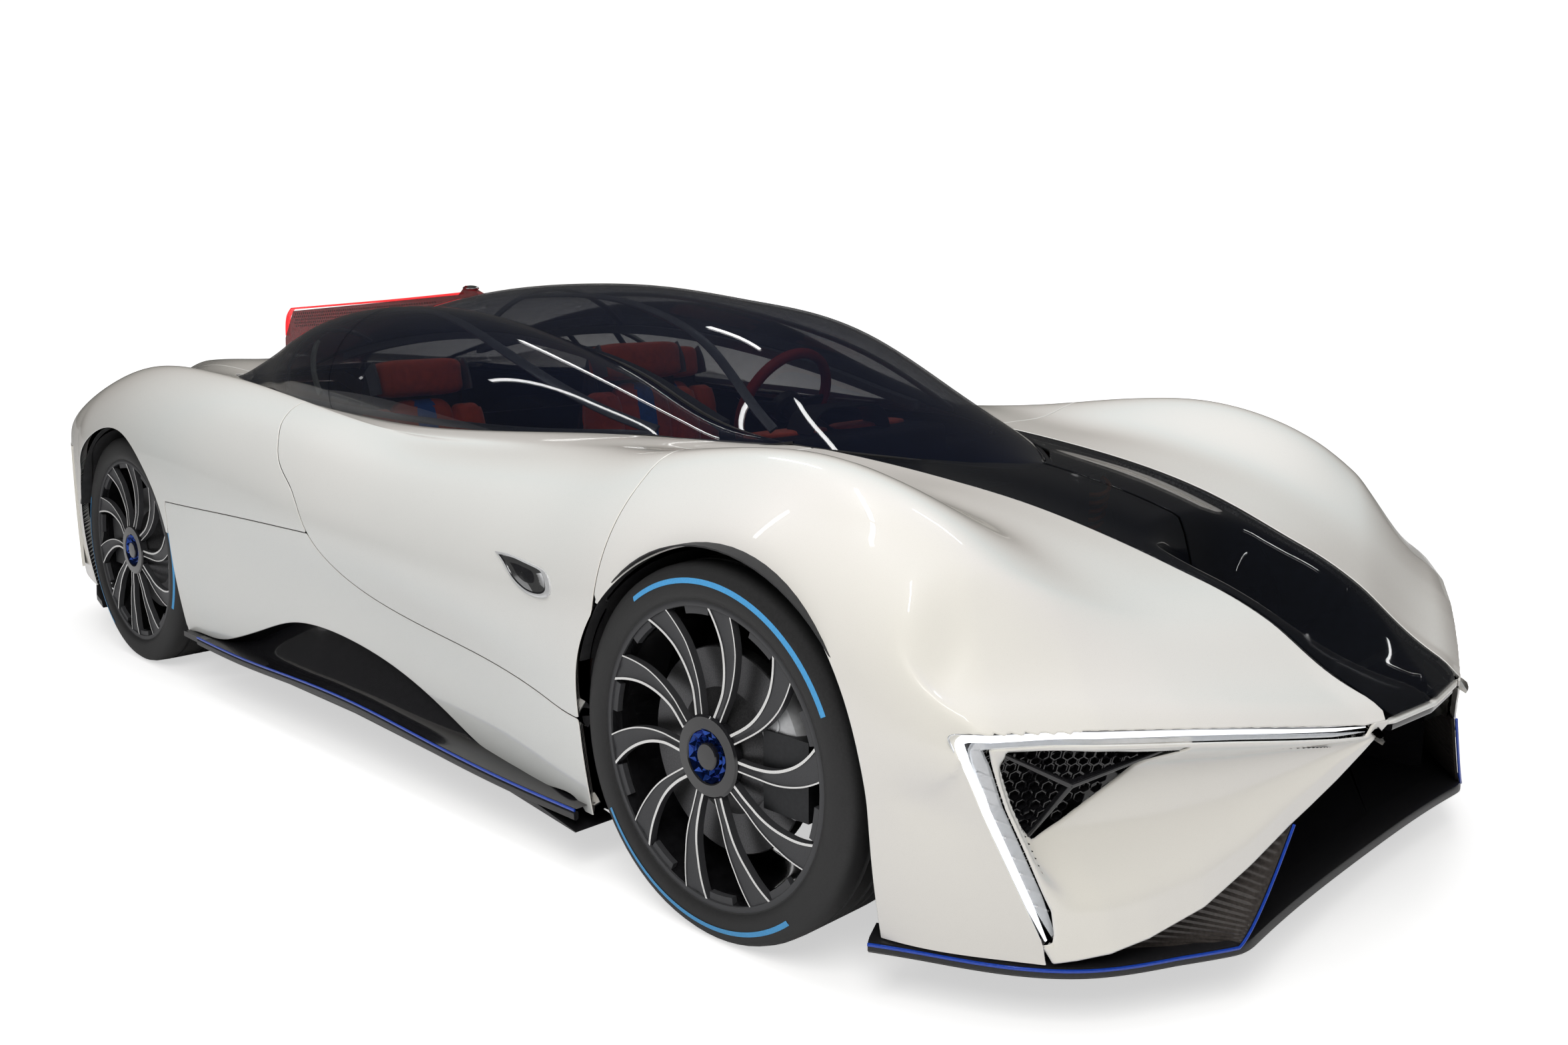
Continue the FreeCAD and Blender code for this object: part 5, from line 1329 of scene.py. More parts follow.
def hub_jewel(face, centre):
    """The blue ring of sunk cells round the middle cap."""
    points, faces = [], []
    rings = (0.0265, 0.039, 0.0515)
    levels = (face - 0.006, face - 0.0035, face + 0.001)
    for level_row in range(2):
        for cell in range(12):
            a0, a1 = (cell + 0.5 * level_row) * 30, (cell + 1 + 0.5 * level_row) * 30
            base = len(points)
            corners = []
            for radius, angle, level in ((rings[level_row], a0, levels[level_row]),
                                         (rings[level_row], a1, levels[level_row]),
                                         (rings[level_row + 1], a1, levels[level_row + 1]),
                                         (rings[level_row + 1], a0, levels[level_row + 1])):
                corners.append((centre[0] + level, centre[1] - radius * math.cos(math.radians(angle)),
                                centre[2] + radius * math.sin(math.radians(angle))))
            middle = np.mean(corners, axis=0) - [0.007, 0, 0]
            inner = [np.array(corner) * 0.55 + middle * 0.45 for corner in corners]
            points += corners + [tuple(one) for one in inner] + [tuple(middle)]
            for k in range(4):
                m = (k + 1) % 4
                faces.append([base + k, base + m, base + 4 + m, base + 4 + k])
                faces.append([base + 4 + k, base + 4 + m, base + 8])
    return points, faces


def wheel(axle, centre, half, arcs):
    """Rim, disc and tyre of one axle, on both sides."""
    face = half - 0.008
    rolls = {side: "roll_%s_%s" % (axle, side) for side in ("left", "right")}
    parts, kinds = [], []

    def add(mesh, kind):
        parts.append(mesh[:2])
        kinds.extend(kind if isinstance(kind, list) else [kind] * len(mesh[1]))

    add(turned([(face - 0.004, RING_R - 0.001), (face - 0.0005, RING_R), (face, RING_R + 0.003),
                (face, 0.2945),
                (face - 0.0015, 0.2965), (face - 0.008, 0.2965)], 96, centre), 1)
    add(turned([(face - 0.004, RING_R - 0.001), (face - 0.022, 0.278), (face - 0.050, 0.276), (0.0, 0.266),
                (-half + 0.03, 0.274), (-half + 0.009, 0.284), (-half + 0.009, 0.294)], 72, centre), 3)
    for number in range(BLADE_COUNT):
        made = blade(face, 0.016, BLADE_START + 360 / BLADE_COUNT * number, centre)
        add(made, made[2])
        start = BLADE_START + 360 / BLADE_COUNT * number + 13.5
        add(turned([(face - 0.016, 0.283), (face - 0.0035, 0.283), (face - 0.0045, 0.269),
                    (face - 0.016, 0.268)], 8,
                   centre, start, start + 13, True), 1)
    add(turned([(face - 0.020, HUB_R - 0.004), (face - 0.002, HUB_R), (face + 0.002, HUB_R - 0.004),
                (face + 0.003, 0.054), (face + 0.001, 0.0515)], 64, centre), 2)
    add(turned([(face - 0.009, 0.0265), (face + 0.001, 0.0262), (face + 0.003, 0.024), (face + 0.0035, 0.012),
                (face + 0.0036, 0.0002)], 40, centre), 2)
    add(hub_jewel(face, centre), 4)
    add(turned([(0.040, 0.06), (0.040, 0.198), (0.042, 0.200), (0.068, 0.200), (0.070, 0.198), (0.070, 0.122),
                (0.074, 0.118), (face - 0.022, 0.070)], 72, centre), 5)
    points, faces = joined_meshes(parts)
    both_sides("wheel_%s" % axle, points, faces, [BLADE_SILVER, BLADE_GREY, GLOSS_BLACK, BARREL_BLACK,
                                                  BLUE_METAL, DISC_STEEL],
               body=rolls, slot="rim", replaces=["wheel_%s_SIDE" % axle], face_material=kinds)
    tyre(axle, centre, half, arcs, rolls)


def tyre(axle, centre, half, arcs, rolls):
    outer = centre[2]
    shoulder = [(half - 0.0085, 0.2835), (half - 0.008, 0.2975), (half - 0.004, 0.3015),
                (half - 0.0008, 0.312),
                (half - 0.0003, 0.326), (half - 0.0022, outer - 0.024), (half - 0.0070, outer - 0.0125),
                (half - 0.0150, outer - 0.0050), (half - 0.0270, outer - 0.0014)]
    groove = [(half - 0.058, outer), (half - 0.060, outer - 0.006), (half - 0.068, outer - 0.006),
              (half - 0.070, outer)]
    middle = [(0.022, outer), (0.020, outer - 0.006), (0.012, outer - 0.006), (0.010, outer)]
    outer_half = shoulder + groove + middle
    profile = outer_half + [(-across, radius) for across, radius in outer_half[::-1]]
    parts = [turned(profile, 78, centre)]
    kinds = [0] * len(parts[0][1])
    for start, stop in arcs:
        low, high = outer - 0.0365, outer - 0.0265
        ring = [(half - 0.0002, low), (half - 0.0010, (low + high) / 2), (half - 0.0026, high)]
        mesh = turned([(across + 0.0008, radius) for across, radius in ring], 34, centre, start, stop)
        parts.append(mesh)
        kinds += [1] * len(mesh[1])
    points, faces = joined_meshes(parts)
    both_sides("tyre_%s" % axle, points, faces, [RUBBER, SKY_BLUE], body=rolls, slot="tyre",
               replaces=["tyre_%s_SIDE" % axle], face_material=kinds)


wheel("front", (0.8645, FRONT, 0.364), 0.1275, ((26, 126), (-148, -50)))
wheel("rear", (0.8225, REAR, 0.370), 0.1525, ((-25, 62), (155, 235)))


def arch_liner():
    """Black liners inside the wheel arches."""
    parts = []
    for centre_y, centre_z, radius in ((FRONT, 0.364, 0.3945), (REAR, 0.370, 0.4020)):
        centre = (0, centre_y, centre_z)
        profile = [(0.566, radius), (0.950, radius), (0.950, radius + 0.003), (0.563, radius + 0.003)]
        parts.append(turned(profile, 40, centre, -14, 194, True))
        rim = [(0.946, radius), (0.984, radius), (0.984, radius + 0.003), (0.946, radius + 0.003)]
        parts.append(turned(rim, 32, centre, 16, 164, True))
        parts.append(turned([(0.563, 0.05), (0.566, 0.05), (0.566, radius), (0.563, radius)], 30, centre, 20,
                            160, True))
    points, faces = joined_meshes(parts)
    both_sides("arch_liner", points, faces, [UNDERSIDE])


arch_liner()


# Splitter and skirts
CARBON = surface("satin_carbon", (0.014, 0.014, 0.016), 0.38, 0.0, (240, 0.25, 0.08), (0.25, 1200),
                 Coat_Weight=0.25)
ROYAL_BLUE = surface("royal_blue", (0.012, 0.065, 0.48), 0.22, 0.2, (160, 0.12, 0.05), Coat_Weight=0.6)
RIBBED = surface("ribbed_carbon", (0.060, 0.052, 0.048), 0.34, 0.2, (180, 0.25, 0.1), Coat_Weight=0.3)
BLADE_EDGE = [(964, -378), (936, -437), (882, -561), (786, -695), (639, -785), (552, -832), (515, -846),
              (480, -846),
              (300, -836), (0, -832)]
BLADE_LOW = 0.098
BLADE_HIGH = 0.126


def splitter():
    """The blade under the nose with its blue edge line, and a ribbed plate from it up to each fang."""
    edge = np.array(BLADE_EDGE, float)
    dense = np.concatenate([smooth_line(edge[:5], 40), smooth_line(edge[4:], 46)[1:]])
    profile = [(0.020, BLADE_LOW), (0.006, BLADE_LOW + 0.002), (0.0, BLADE_LOW + 0.008),
               (0.0, BLADE_HIGH - 0.010),
               (0.003, BLADE_HIGH - 0.004), (0.012, BLADE_HIGH), (0.060, BLADE_HIGH + 0.003)]
    run = np.gradient(dense, axis=0)
    run /= np.linalg.norm(run, axis=1, keepdims=True)
    inward = np.stack([-run[:, 1], run[:, 0]], -1)
    inward *= np.sign((inward * (np.array([200, 0]) - dense)).sum(1))[:, None]
    rings = np.zeros((len(dense), len(profile), 3))
    for k, (depth, height) in enumerate(profile):
        rings[:, k, 0] = dense[:, 0] * MM + inward[:, 0] * depth
        rings[:, k, 1] = FRONT + dense[:, 1] * MM + inward[:, 1] * depth
        rings[:, k, 2] = height
    rings[:, :, 0] = np.maximum(rings[:, :, 0], 0)
    points = rings.reshape(-1, 3)
    quads = grid_quads(*rings.shape[:2])
    top_ring, low_ring = rings[:, -1], rings[:, 0]
    for ring, height in ((top_ring, BLADE_HIGH + 0.003), (low_ring, BLADE_LOW)):
        start = len(points)
        flat = [tuple(one) for one in ring] + [(0.0, FRONT - 0.380, height), (0.900, FRONT - 0.380, height)]
        points = np.concatenate([points, flat])
        quads.append(list(range(start, start + len(flat))))
    both_sides("splitter_blade", points, quads, [CARBON], slot="carbon", replaces=["front_splitter"])
    turn = int(np.argmin(np.abs(dense[:, 0] - 516)))
    line = np.stack([dense[:turn, 0] * MM - inward[:turn, 0] * 0.0006, FRONT + dense[:turn, 1] * MM -
                     inward[:turn, 1] * 0.0006,
                     np.full(turn, BLADE_HIGH - 0.0085)], -1)
    rise = np.linspace(0, 1, 30)[1:, None]
    corner, top = line[-1], np.array([0.398, FRONT - 0.862, 0.304])
    pull = corner * 0.80 + top * 0.20 + [-0.012, -0.004, -0.022]
    fin_edge = corner * (1 - rise) ** 2 + pull * 2 * rise * (1 - rise) + top * rise ** 2
    whole = np.concatenate([line, fin_edge])
    both_sides("splitter_line", *swept(whole, round_profile(0.005, 0.0065, 0.45), (0, -0.35, 1)),
               [ROYAL_BLUE])
    ribs, rows, columns = 21, 127, 24
    share = np.linspace(0, 1, rows)[:, None]
    front = np.concatenate([corner[None], fin_edge])
    along = np.linspace(0, 1, len(front))
    front = np.stack([np.interp(share[:, 0], along, front[:, k]) for k in range(3)], -1)
    rear_low, rear_top = np.array([0.735, FRONT - 0.690, BLADE_HIGH]), np.array([0.415, FRONT - 0.845, 0.306])
    rear = rear_low * (1 - share) + rear_top * share
    rear[:, 1] += 0.030 * np.sin(math.pi * share[:, 0])
    across = np.linspace(0, 1, columns)[None, :, None]
    plate = front[:, None] * (1 - across) + rear[:, None] * across
    wave = np.abs(((share * ribs) % 1) - 0.5) * 2
    plate[..., 1] += (0.004 + 0.0034 * (1 - wave) * np.minimum(1, 12 * across[..., 0])
                      * np.ones_like(plate[..., 1]))
    index = np.arange(rows * columns).reshape(rows, columns)
    quads = grid_quads(rows, columns)
    back = plate + [0, 0.006, 0]
    total = np.concatenate([plate.reshape(-1, 3), back.reshape(-1, 3)])
    quads += [[rows * columns + i for i in quad[::-1]] for quad in quads]
    border = np.concatenate([index[0], index[1:, -1], index[-1, ::-1][1:], index[::-1, 0][1:]])
    quads += [[int(a), int(b), int(b) + rows * columns, int(a) + rows * columns] for a,
              b in zip(border, border[1:])]
    both_sides("splitter_fin", total, quads, [RIBBED])


splitter()

SKIRT_EDGE = [(2262, 179), (1995, 173), (1612, 181), (1317, 181), (950, 162), (631, 150), (405, 150)]


def skirts():
    """The blue line along the edge of each skirt, with a black lip under it and a curved hollow above."""
    line = smooth_line(SKIRT_EDGE, 80)
    path = np.stack([np.full(80, 0.9905), FRONT + line[:, 0] * MM, (line[:, 1] - 3) * MM], -1)
    both_sides("skirt_line", *swept(path, round_profile(0.004, 0.0065, 0.45), (0, 0, 1)), [ROYAL_BLUE])
    lower = path + [-0.004, 0, -0.013]
    both_sides("skirt_lip", *swept(lower, round_profile(0.012, 0.020, 0.45), (0, 0, 1)), [CARBON])
    rows = 80
    columns = 14
    share = np.linspace(0, 1, columns)
    grid = np.zeros((rows, columns, 3))
    grid[..., 0] = 0.986 - (0.986 - 0.884) * share[None, :] ** 0.8
    grid[..., 1] = (FRONT + line[:, 0] * MM)[:, None]
    wall = np.interp(line[:, 0], [405, 560, 832, 1171, 1441, 1633, 1897, 2194, 2262],
                     [0.150, 0.156, 0.180, 0.262, 0.310, 0.322, 0.270, 0.186, 0.182])
    grid[..., 2] = (line[:, 1] * MM - 0.001)[:, None] + (wall - line[:, 1] *
                                                         MM)[:, None] * share[None, :] ** 2.6
    both_sides("skirt_hollow", grid.reshape(-1, 3), grid_quads(rows, columns), [GLOSS_BLACK])


skirts()


# Brakes
def calipers():
    """Silver six piston callipers at the front of each disc, the front ones on the uprights and the rear ones
    on the chassis.
    """
    for axle, centre, bodies, at in (("front", (0.8645, FRONT, 0.364),
                                      {"left": "upright_left", "right": "upright_right"}, 10),
                                     ("rear", (0.8225, REAR, 0.370), FIXED, 10)):
        profile = [(0.030, 0.206), (0.026, 0.150), (0.030, 0.128), (0.070, 0.120), (0.080, 0.122),
                   (0.084, 0.132),
                   (0.0845, 0.190), (0.080, 0.206), (0.066, 0.214), (0.044, 0.214)]
        parts = [turned(profile, 18, centre, at - 34, at + 34, True)]
        for angle in (-24, -2, 20):
            turn = math.radians(at + angle + 2)
            middle = np.array([centre[0] + 0.0838, centre[1] - 0.162 * math.cos(turn),
                               centre[2] + 0.162 * math.sin(turn)])
            ring = []
            for radius, out in ((0.019, 0.0), (0.018, 0.0028), (0.014, 0.0034), (0.013, 0.0014),
                                (0.0005, 0.0014)):
                for k in range(20):
                    a = 2 * math.pi * k / 20
                    ring.append(middle + [out, radius * math.cos(a), radius * math.sin(a)])
            parts.append((ring, ring_faces(5, 20)))
        points, faces = joined_meshes(parts)
        both_sides("caliper_%s" % axle, points, faces, [CALIPER_SILVER], body=bodies, slot="steel")


calipers()


# Cabin
SEAT_RED = wear(material("rust_leather", (0.64, 0.085, 0.030), 0.50, 0.0, Sheen_Weight=0.3),
                (0.64, 0.085, 0.030), 70, 0.14,
                0.52, 0.08, 0.5, 1100)
SEAT_BLUE = surface("blue_leather", (0.025, 0.15, 0.56), 0.50, 0.0, (80, 0.15, 0.08), (0.5, 1100))
SEAT_SHELL = surface("seat_shell", (0.035, 0.036, 0.040), 0.35, 0.3, (90, 0.2, 0.08), (0.2, 500))
DASH_LEATHER = surface("dash_leather", (0.020, 0.020, 0.023), 0.55, 0.0, (80, 0.25, 0.08), (0.5, 900))
WHEEL_LEATHER = surface("wheel_leather", (0.30, 0.022, 0.018), 0.42, 0.0, (120, 0.12, 0.06), (0.4, 1300),
                        Coat_Weight=0.2)
SPRING_ORANGE = surface("spring_orange", (0.55, 0.15, 0.02), 0.38, 0.2, (100, 0.12, 0.06))


def cushion(middle, half, tilt, grooves=(), pinch=0.10, power=0.38, stripe=None, columns=72, rows=44):
    """A crowned pad: half is its half size, tilt leans it back, grooves are sewn channels at heights or
    widths of the pad, stripe is the half width of the blue panel down its middle."""
    u = np.linspace(-math.pi, math.pi, columns, endpoint=False)[None, :]
    v = np.linspace(-math.pi / 2, math.pi / 2, rows)[:, None]

    def shaped(value, rate):
        return np.sign(value) * np.abs(value) ** rate

    x = shaped(np.cos(v), power) * shaped(np.cos(u), power)
    y = shaped(np.cos(v), power) * shaped(np.sin(u), power)
    z = shaped(np.sin(v), power) * np.ones_like(u)
    side = 1 - pinch * (1 - np.minimum(x ** 2, z ** 2)) * (np.maximum(np.abs(x), np.abs(z)) > 0.80)
    crown = 1 + 0.12 * np.cos(np.clip(x, -1, 1) * math.pi / 2) * np.cos(np.clip(z, -1, 1) * math.pi / 2)
    local = np.stack([x * side * half[0], y * crown * half[1] * 0.88, z * side * half[2]], -1)
    for axis, place in grooves:
        gap = (local[..., 0 if axis == "x" else 2] - place) / 0.006
        local[..., 1] *= 1 - 0.085 * np.exp(-gap ** 2)
    lean = math.radians(tilt)
    turned_points = np.stack([local[..., 0], local[..., 1] * math.cos(lean) + local[..., 2] * math.sin(lean),
                              local[..., 2] * math.cos(lean) - local[..., 1] * math.sin(lean)], -1) + middle
    index = np.arange(rows * columns).reshape(rows, columns)
    after = np.roll(index, -1, axis=1)
    quads = np.stack([index[:-1], after[:-1], after[1:], index[1:]], -1).reshape(-1, 4)
    across = np.abs(local.reshape(-1, 3)[quads][..., 0].mean(1))
    kinds = (across < stripe).astype(int).tolist() if stripe else [0] * len(quads)
    return turned_points.reshape(-1, 3), quads.tolist(), kinds


def padded_piece(name, parts):
    """One padded piece from cushions that touch."""
    points, faces = joined_meshes([part[:2] for part in parts])
    kinds = sum([part[2] for part in parts], [])
    item = poly_object(name, points, faces, [SEAT_RED, SEAT_BLUE], face_material=kinds)
    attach(item, "chassis")
    return item


def seat(name, x, back, top, node):
    """A seat: shell, base cushion, back cushion with a blue stripe and side bolsters, and a wide headrest."""
    y = FRONT + back * MM
    wide = 0.160 if x == 0 else 0.142
    rest = cushion((x, y + 0.425, top - 0.060), (wide, 0.056, 0.056), 8, pinch=0.05, power=0.42)
    padded_piece(name + "_headrest", [rest])
    spine = cushion((x, y + 0.405, top - 0.285), (0.110, 0.046, 0.172), 7,
                    (("z", 0.10), ("z", 0.02), ("z", -0.06)), 0.05,
                    0.5, 0.030)
    bolsters = [cushion((x + side * 0.145, y + 0.392, top - 0.290), (0.052, 0.062, 0.168), 7, (("z", 0.06),),
                        0.12, 0.62)
                for side in (1, -1)]
    padded_piece(name + "_back", [spine] + bolsters)
    base = cushion((x, y + 0.185, 0.345), (0.150, 0.050, 0.180), 100, (("z", 0.06), ("z", -0.06)), 0.06, 0.45,
                   0.030)
    thighs = [cushion((x + side * 0.172, y + 0.185, 0.362), (0.036, 0.056, 0.180), 100, (), 0.1, 0.6)
              for side in (1, -1)]
    padded_piece(name + "_base", [base] + thighs)
    outline = [(0.000, 0.142), (-0.020, 0.330), (0.020, 0.352), (0.060, 0.300), (0.300, 0.270),
               (0.360, 0.330),
               (0.425, top - 0.130), (0.440,
                                      top - 0.030), (0.462,
                                                     top - 0.012), (0.478, top - 0.060), (0.470, top - 0.300),
               (0.420, 0.240), (0.385, 0.142)]
    steps = [(-0.205, 0.93), (-0.198, 1.0), (0.198, 1.0), (0.205, 0.93)]
    centre = np.mean(outline, axis=0)
    rings = []
    for across, scale in steps:
        ring = (np.array(outline) - centre) * scale + centre
        narrow = np.where(ring[:, 1] > top - 0.16, 0.72, 1.0)
        rings.append(np.stack([x + across * narrow, y + ring[:, 0], ring[:, 1]], -1))
    points = np.concatenate(rings)
    n = len(outline)
    faces = [[k * n + i, k * n + (i + 1) % n, (k + 1) * n + (i + 1) % n, (k + 1) * n + i] for k in range(3)
             for i in range(n)]
    faces += [list(range(n))[::-1], [3 * n + i for i in range(n)]]
    item = poly_object(name + "_shell", points, faces, [SEAT_SHELL])
    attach(item, "chassis")
    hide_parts(node)
    wings = []
    for side in (1, -1):
        path = np.array([(x + side * 0.150, y + 0.398, top - 0.100),
                         (x + side * 0.151, y + 0.408, top - 0.060),
                         (x + side * 0.149, y + 0.430, top - 0.022)])
        wings.append(swept(smooth_line(path, 12), round_profile(0.060, 0.008, 0.4), (side, 0, 0)))
    item = poly_object(name + "_wings", *joined_meshes(wings), [SATIN_FRAME])
    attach(item, "chassis")


seat("driver", 0.0, 950, 1.055, "driver_seat")
seat("passenger_left", 0.475, 1380, 1.010, "passenger_seats")
seat("passenger_right", -0.475, 1380, 1.010, "passenger_seats")


def handwheel():
    """Leather rim with a flat foot, three spokes and a hub."""
    centre = np.array([0, FRONT + 0.760, 0.905])
    right, up, toward = np.array([1.0, 0, 0]), np.array([0, -0.422618,
                                                         0.906308]), np.array([0, 0.906308, 0.422618])
    angles = np.linspace(0, 2 * math.pi, 97)
    radius = 0.152
    a, b = radius * np.cos(angles), np.maximum(radius * np.sin(angles), -0.128)
    path = centre + a[:, None] * right + b[:, None] * up
    rim = swept(path, round_profile(0.026, 0.030, 0.48, 5), toward, closed_ends=False)
    spokes = []
    for end_a, end_b, width in ((0.142, 0.010, 0.030), (-0.142, 0.010, 0.030), (0.0, -0.124, 0.040)):
        line = np.linspace(0.15, 1, 8)[:, None]
        places = centre + line * (end_a * right + end_b * up) - toward * (0.018 - 0.014 * line)
        spokes.append(swept(places, round_profile(width, 0.010, 0.4), toward))
    hub_points = []
    for level, size in ((-0.030, 0.030), (-0.024, 0.042), (-0.004, 0.044), (0.002, 0.040), (0.005, 0.022),
                        (0.005, 0.0005)):
        for k in range(32):
            t = 2 * math.pi * k / 32
            hub_points.append(centre + right * size * 1.25 * math.cos(t) + up * size * math.sin(t) + toward *
                              level)
    points, faces = joined_meshes([rim] + spokes + [(hub_points, ring_faces(6, 32))])
    kinds = [0] * len(rim[1]) + [1] * (len(faces) - len(rim[1]))
    item = poly_object("steering_rim", points, faces, [WHEEL_LEATHER, SEAT_SHELL], face_material=kinds)
    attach(item, "handwheel")
    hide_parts("steering_wheel")


handwheel()


def dash_panels():
    """Red pads along the top of the dashboard with a dark gap between them, and a hooded display."""
    pads = [cushion((side * 0.155, FRONT + 0.600, 0.850), (0.140, 0.038, 0.012), 0, (), 0.03, 0.5)
            for side in (1, -1)]
    points, faces = joined_meshes([pad[:2] for pad in pads])
    item = poly_object("dash_pads", points, faces, [SEAT_RED])
    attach(item, "chassis")
    path = np.array([(-0.15, 0, 0), (-0.13, 0, 0.040), (0, 0, 0.062), (0.13, 0, 0.040),
                     (0.15, 0, 0)]) + [0, FRONT + 0.560, 0.852]
    item = poly_object("dash_hood", *swept(smooth_line(path, 30), round_profile(0.006, 0.090, 0.4),
                                           (0, 1, 0)), [DASH_LEATHER])
    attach(item, "chassis")


dash_panels()


def springs():
    """Orange coil springs under the hood glass."""
    turns, radius = 6.5, 0.038
    t = np.linspace(0, 1, 210)
    low, high = np.array([0.262, FRONT - 0.010, 0.610]), np.array([0.222, FRONT - 0.060, 0.752])
    axis = (high - low) / np.linalg.norm(high - low)
    side = np.cross(axis, [0, 1, 0])
    side /= np.linalg.norm(side)
    other = np.cross(axis, side)
    angle = 2 * math.pi * turns * t
    path = low + (high - low) * t[:, None] + radius * (np.cos(angle)[:, None] * side +
                                                       np.sin(angle)[:, None] * other)
    both_sides("front_spring", *swept(path, round_profile(0.011, 0.011, 0.49, 3), axis), [SPRING_ORANGE])


springs()


# Materials of the CAD pieces that stay
TUB_BLACK = surface("tub_black", (0.012, 0.012, 0.013), 0.45, 0.0, (90, 0.2, 0.08), (0.2, 700))
CAST = surface("cast_housing", (0.16, 0.16, 0.17), 0.48, 0.7, (70, 0.18, 0.1), (0.5, 500))
MACHINED = surface("machined_alloy", (0.42, 0.43, 0.45), 0.34, 0.9, (110, 0.1, 0.08), (0.2, 700))
DARK_ALLOY = surface("dark_alloy", (0.030, 0.031, 0.034), 0.42, 0.6, (110, 0.15, 0.08), (0.2, 700))
TAIL_BLACK = surface("tail_gloss", (0.010, 0.010, 0.012), 0.14, 0.0, (80, 0.2, 0.05), Coat_Weight=0.6)
RED_LENS = surface("red_lens", (0.62, 0.012, 0.010), 0.12, 0.0, (200, 0.12, 0.04), (0.3, 900),
                   Coat_Weight=0.8)
RED_LENS.node_tree.nodes["Principled BSDF"].inputs["Emission Color"].default_value = (1.0, 0.02, 0.015, 1)
RED_LENS.node_tree.nodes["Principled BSDF"].inputs["Emission Strength"].default_value = 0.35
FIN_RED = surface("fin_red", (0.20, 0.006, 0.010), 0.10, 0.0, (60, 0.25, 0.04), Coat_Weight=0.8, Alpha=0.86)
KEPT = {
    "tub": TUB_BLACK, "undertray": CARBON, "powerplant": CAST, "rear_diffuser": CARBON,
    "tail_panel": TAIL_BLACK,
    "tail_lamps": RED_LENS, "dorsal_fin": FIN_RED, "side_skirts": CARBON, "nose_duct": GLOSS_BLACK,
    "canopy_frame": SATIN_FRAME, "dashboard": DASH_LEATHER, "steering_column": DARK_ALLOY,
    "front_suspension": MACHINED,
    "rear_suspension": DARK_ALLOY, "knuckle_left": DARK_ALLOY, "knuckle_right": DARK_ALLOY,
}
for node_name, one_material in KEPT.items():
    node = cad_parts[node_name]
    node.data.materials.clear()
    node.data.materials.append(one_material)


# Dorsal fin
def fin_details():
    """Lit edge along the top and end of the fin, a dark perforated panel on each side and the camera pod."""
    edge = np.array([(2230, 1213), (2290, 1187), (2700, 1162), (3150, 1138), (3520, 1119), (3558, 1090),
                     (3578, 1010)], float)
    dense = np.concatenate([smooth_line(edge[1:5], 40), smooth_line(edge[4:], 16)[1:]])
    path = np.stack([np.zeros(len(dense)), FRONT + dense[:, 0] * MM, dense[:, 1] * MM + 0.001], -1)
    item = poly_object("fin_light", *swept(path, round_profile(0.020, 0.007, 0.45), (0, 0.1, 1)), [FIN_GLOW])
    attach(item, "chassis")
    centre = np.array([0, FRONT + 2.232, 1.2055])
    points = []
    rows, columns = 17, 28
    for row in range(rows):
        turn = math.pi * row / (rows - 1)
        for column in range(columns):
            spin = 2 * math.pi * column / columns
            ring = math.sin(turn)
            points.append(centre + [0.0125 * ring * math.cos(spin), -0.046 * math.cos(turn),
                                    0.0095 * ring * math.sin(spin)])
    item = poly_object("camera_pod", points, ring_faces(rows, columns), [CHROME])
    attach(item, "chassis")
    holes_points, holes_faces = [], []
    for row in range(5):
        for column in range(62):
            back = 2440 + column * 17 + (row % 2) * 8.5
            height = np.interp(back, [2290, 3520], [1187, 1119]) - 22 - row * 12
            base = len(holes_points)
            for k in range(6):
                t = 2 * math.pi * k / 6
                holes_points.append((0.01225, FRONT + (back + 4.2 * math.cos(t)) * MM,
                                     (height + 4.2 * math.sin(t)) * MM))
            holes_faces.append([base + k for k in range(6)])
    both_sides("fin_holes", holes_points, holes_faces, [GLOSS_BLACK], smooth=False)


FIN_GLOW = surface("fin_glow", (0.85, 0.03, 0.03), 0.25, 0.0, (120, 0.1, 0.05))
FIN_GLOW.node_tree.nodes["Principled BSDF"].inputs["Emission Color"].default_value = (1.0, 0.035, 0.045, 1)
FIN_GLOW.node_tree.nodes["Principled BSDF"].inputs["Emission Strength"].default_value = 0.75
fin_details()


# Tail wall between the curve of the skin and the ground line
def tail_wall():
    """White wall across the tail, round the opening of the tail panel."""
    line = smooth_line(plan_view(TAIL_LINE[1:]), 60)
    edge = (IN_PLAN < 0.006) & (IN_PLAN > 0.0005) & (SKIN_POINTS[:, 1] > REAR +
                                                     0.75) & (SKIN_POINTS[:, 2] > 0.4)
    beside = [edge & (np.abs(SKIN_POINTS[:, 0] - x) < 0.012) for x in line[:, 0]]
    heights = np.array([SKIN_POINTS[near, 2].max(initial=0.5) for near in beside])
    heights = np.convolve(np.pad(heights, 3, "edge"), np.ones(7) / 7, "valid") - 0.002
    floor = np.interp(line[:, 0], [0, 0.3, 0.55, 0.60, 0.76, 0.80], [0.900, 0.888, 0.70, 0.50, 0.50, 0.67])
    heights = np.maximum(heights, floor)
    rows = 40
    share = np.linspace(0, 1, rows)
    grid = np.zeros((len(line), rows, 3))
    grid[..., 0] = line[:, 0][:, None]
    lean = 0.008 * (share - 0.5) ** 2 * 4
    grid[..., 1] = line[:, 1][:, None] - 0.005 - lean[None, :]
    grid[..., 2] = 0.245 + (heights[:, None] - 0.245) * share[None, :]
    flat, normals, faces = skin_of(grid)
    if normals[:, 1].mean() < 0:
        normals, faces = -normals, faces[:, ::-1]
    window = inside_distance(flat[:, [0, 2]], TAIL_WINDOW)
    panel = rolled_panel(-window, 0.010, (flat, normals, faces), 0.0004)
    panel_pair("tail_wall", panel, [PAINT])


tail_wall()


# Marks on the flank
BRIGHT_TRIM = surface("bright_trim", (0.74, 0.75, 0.77), 0.24, 0.45, (120, 0.05, 0.05))


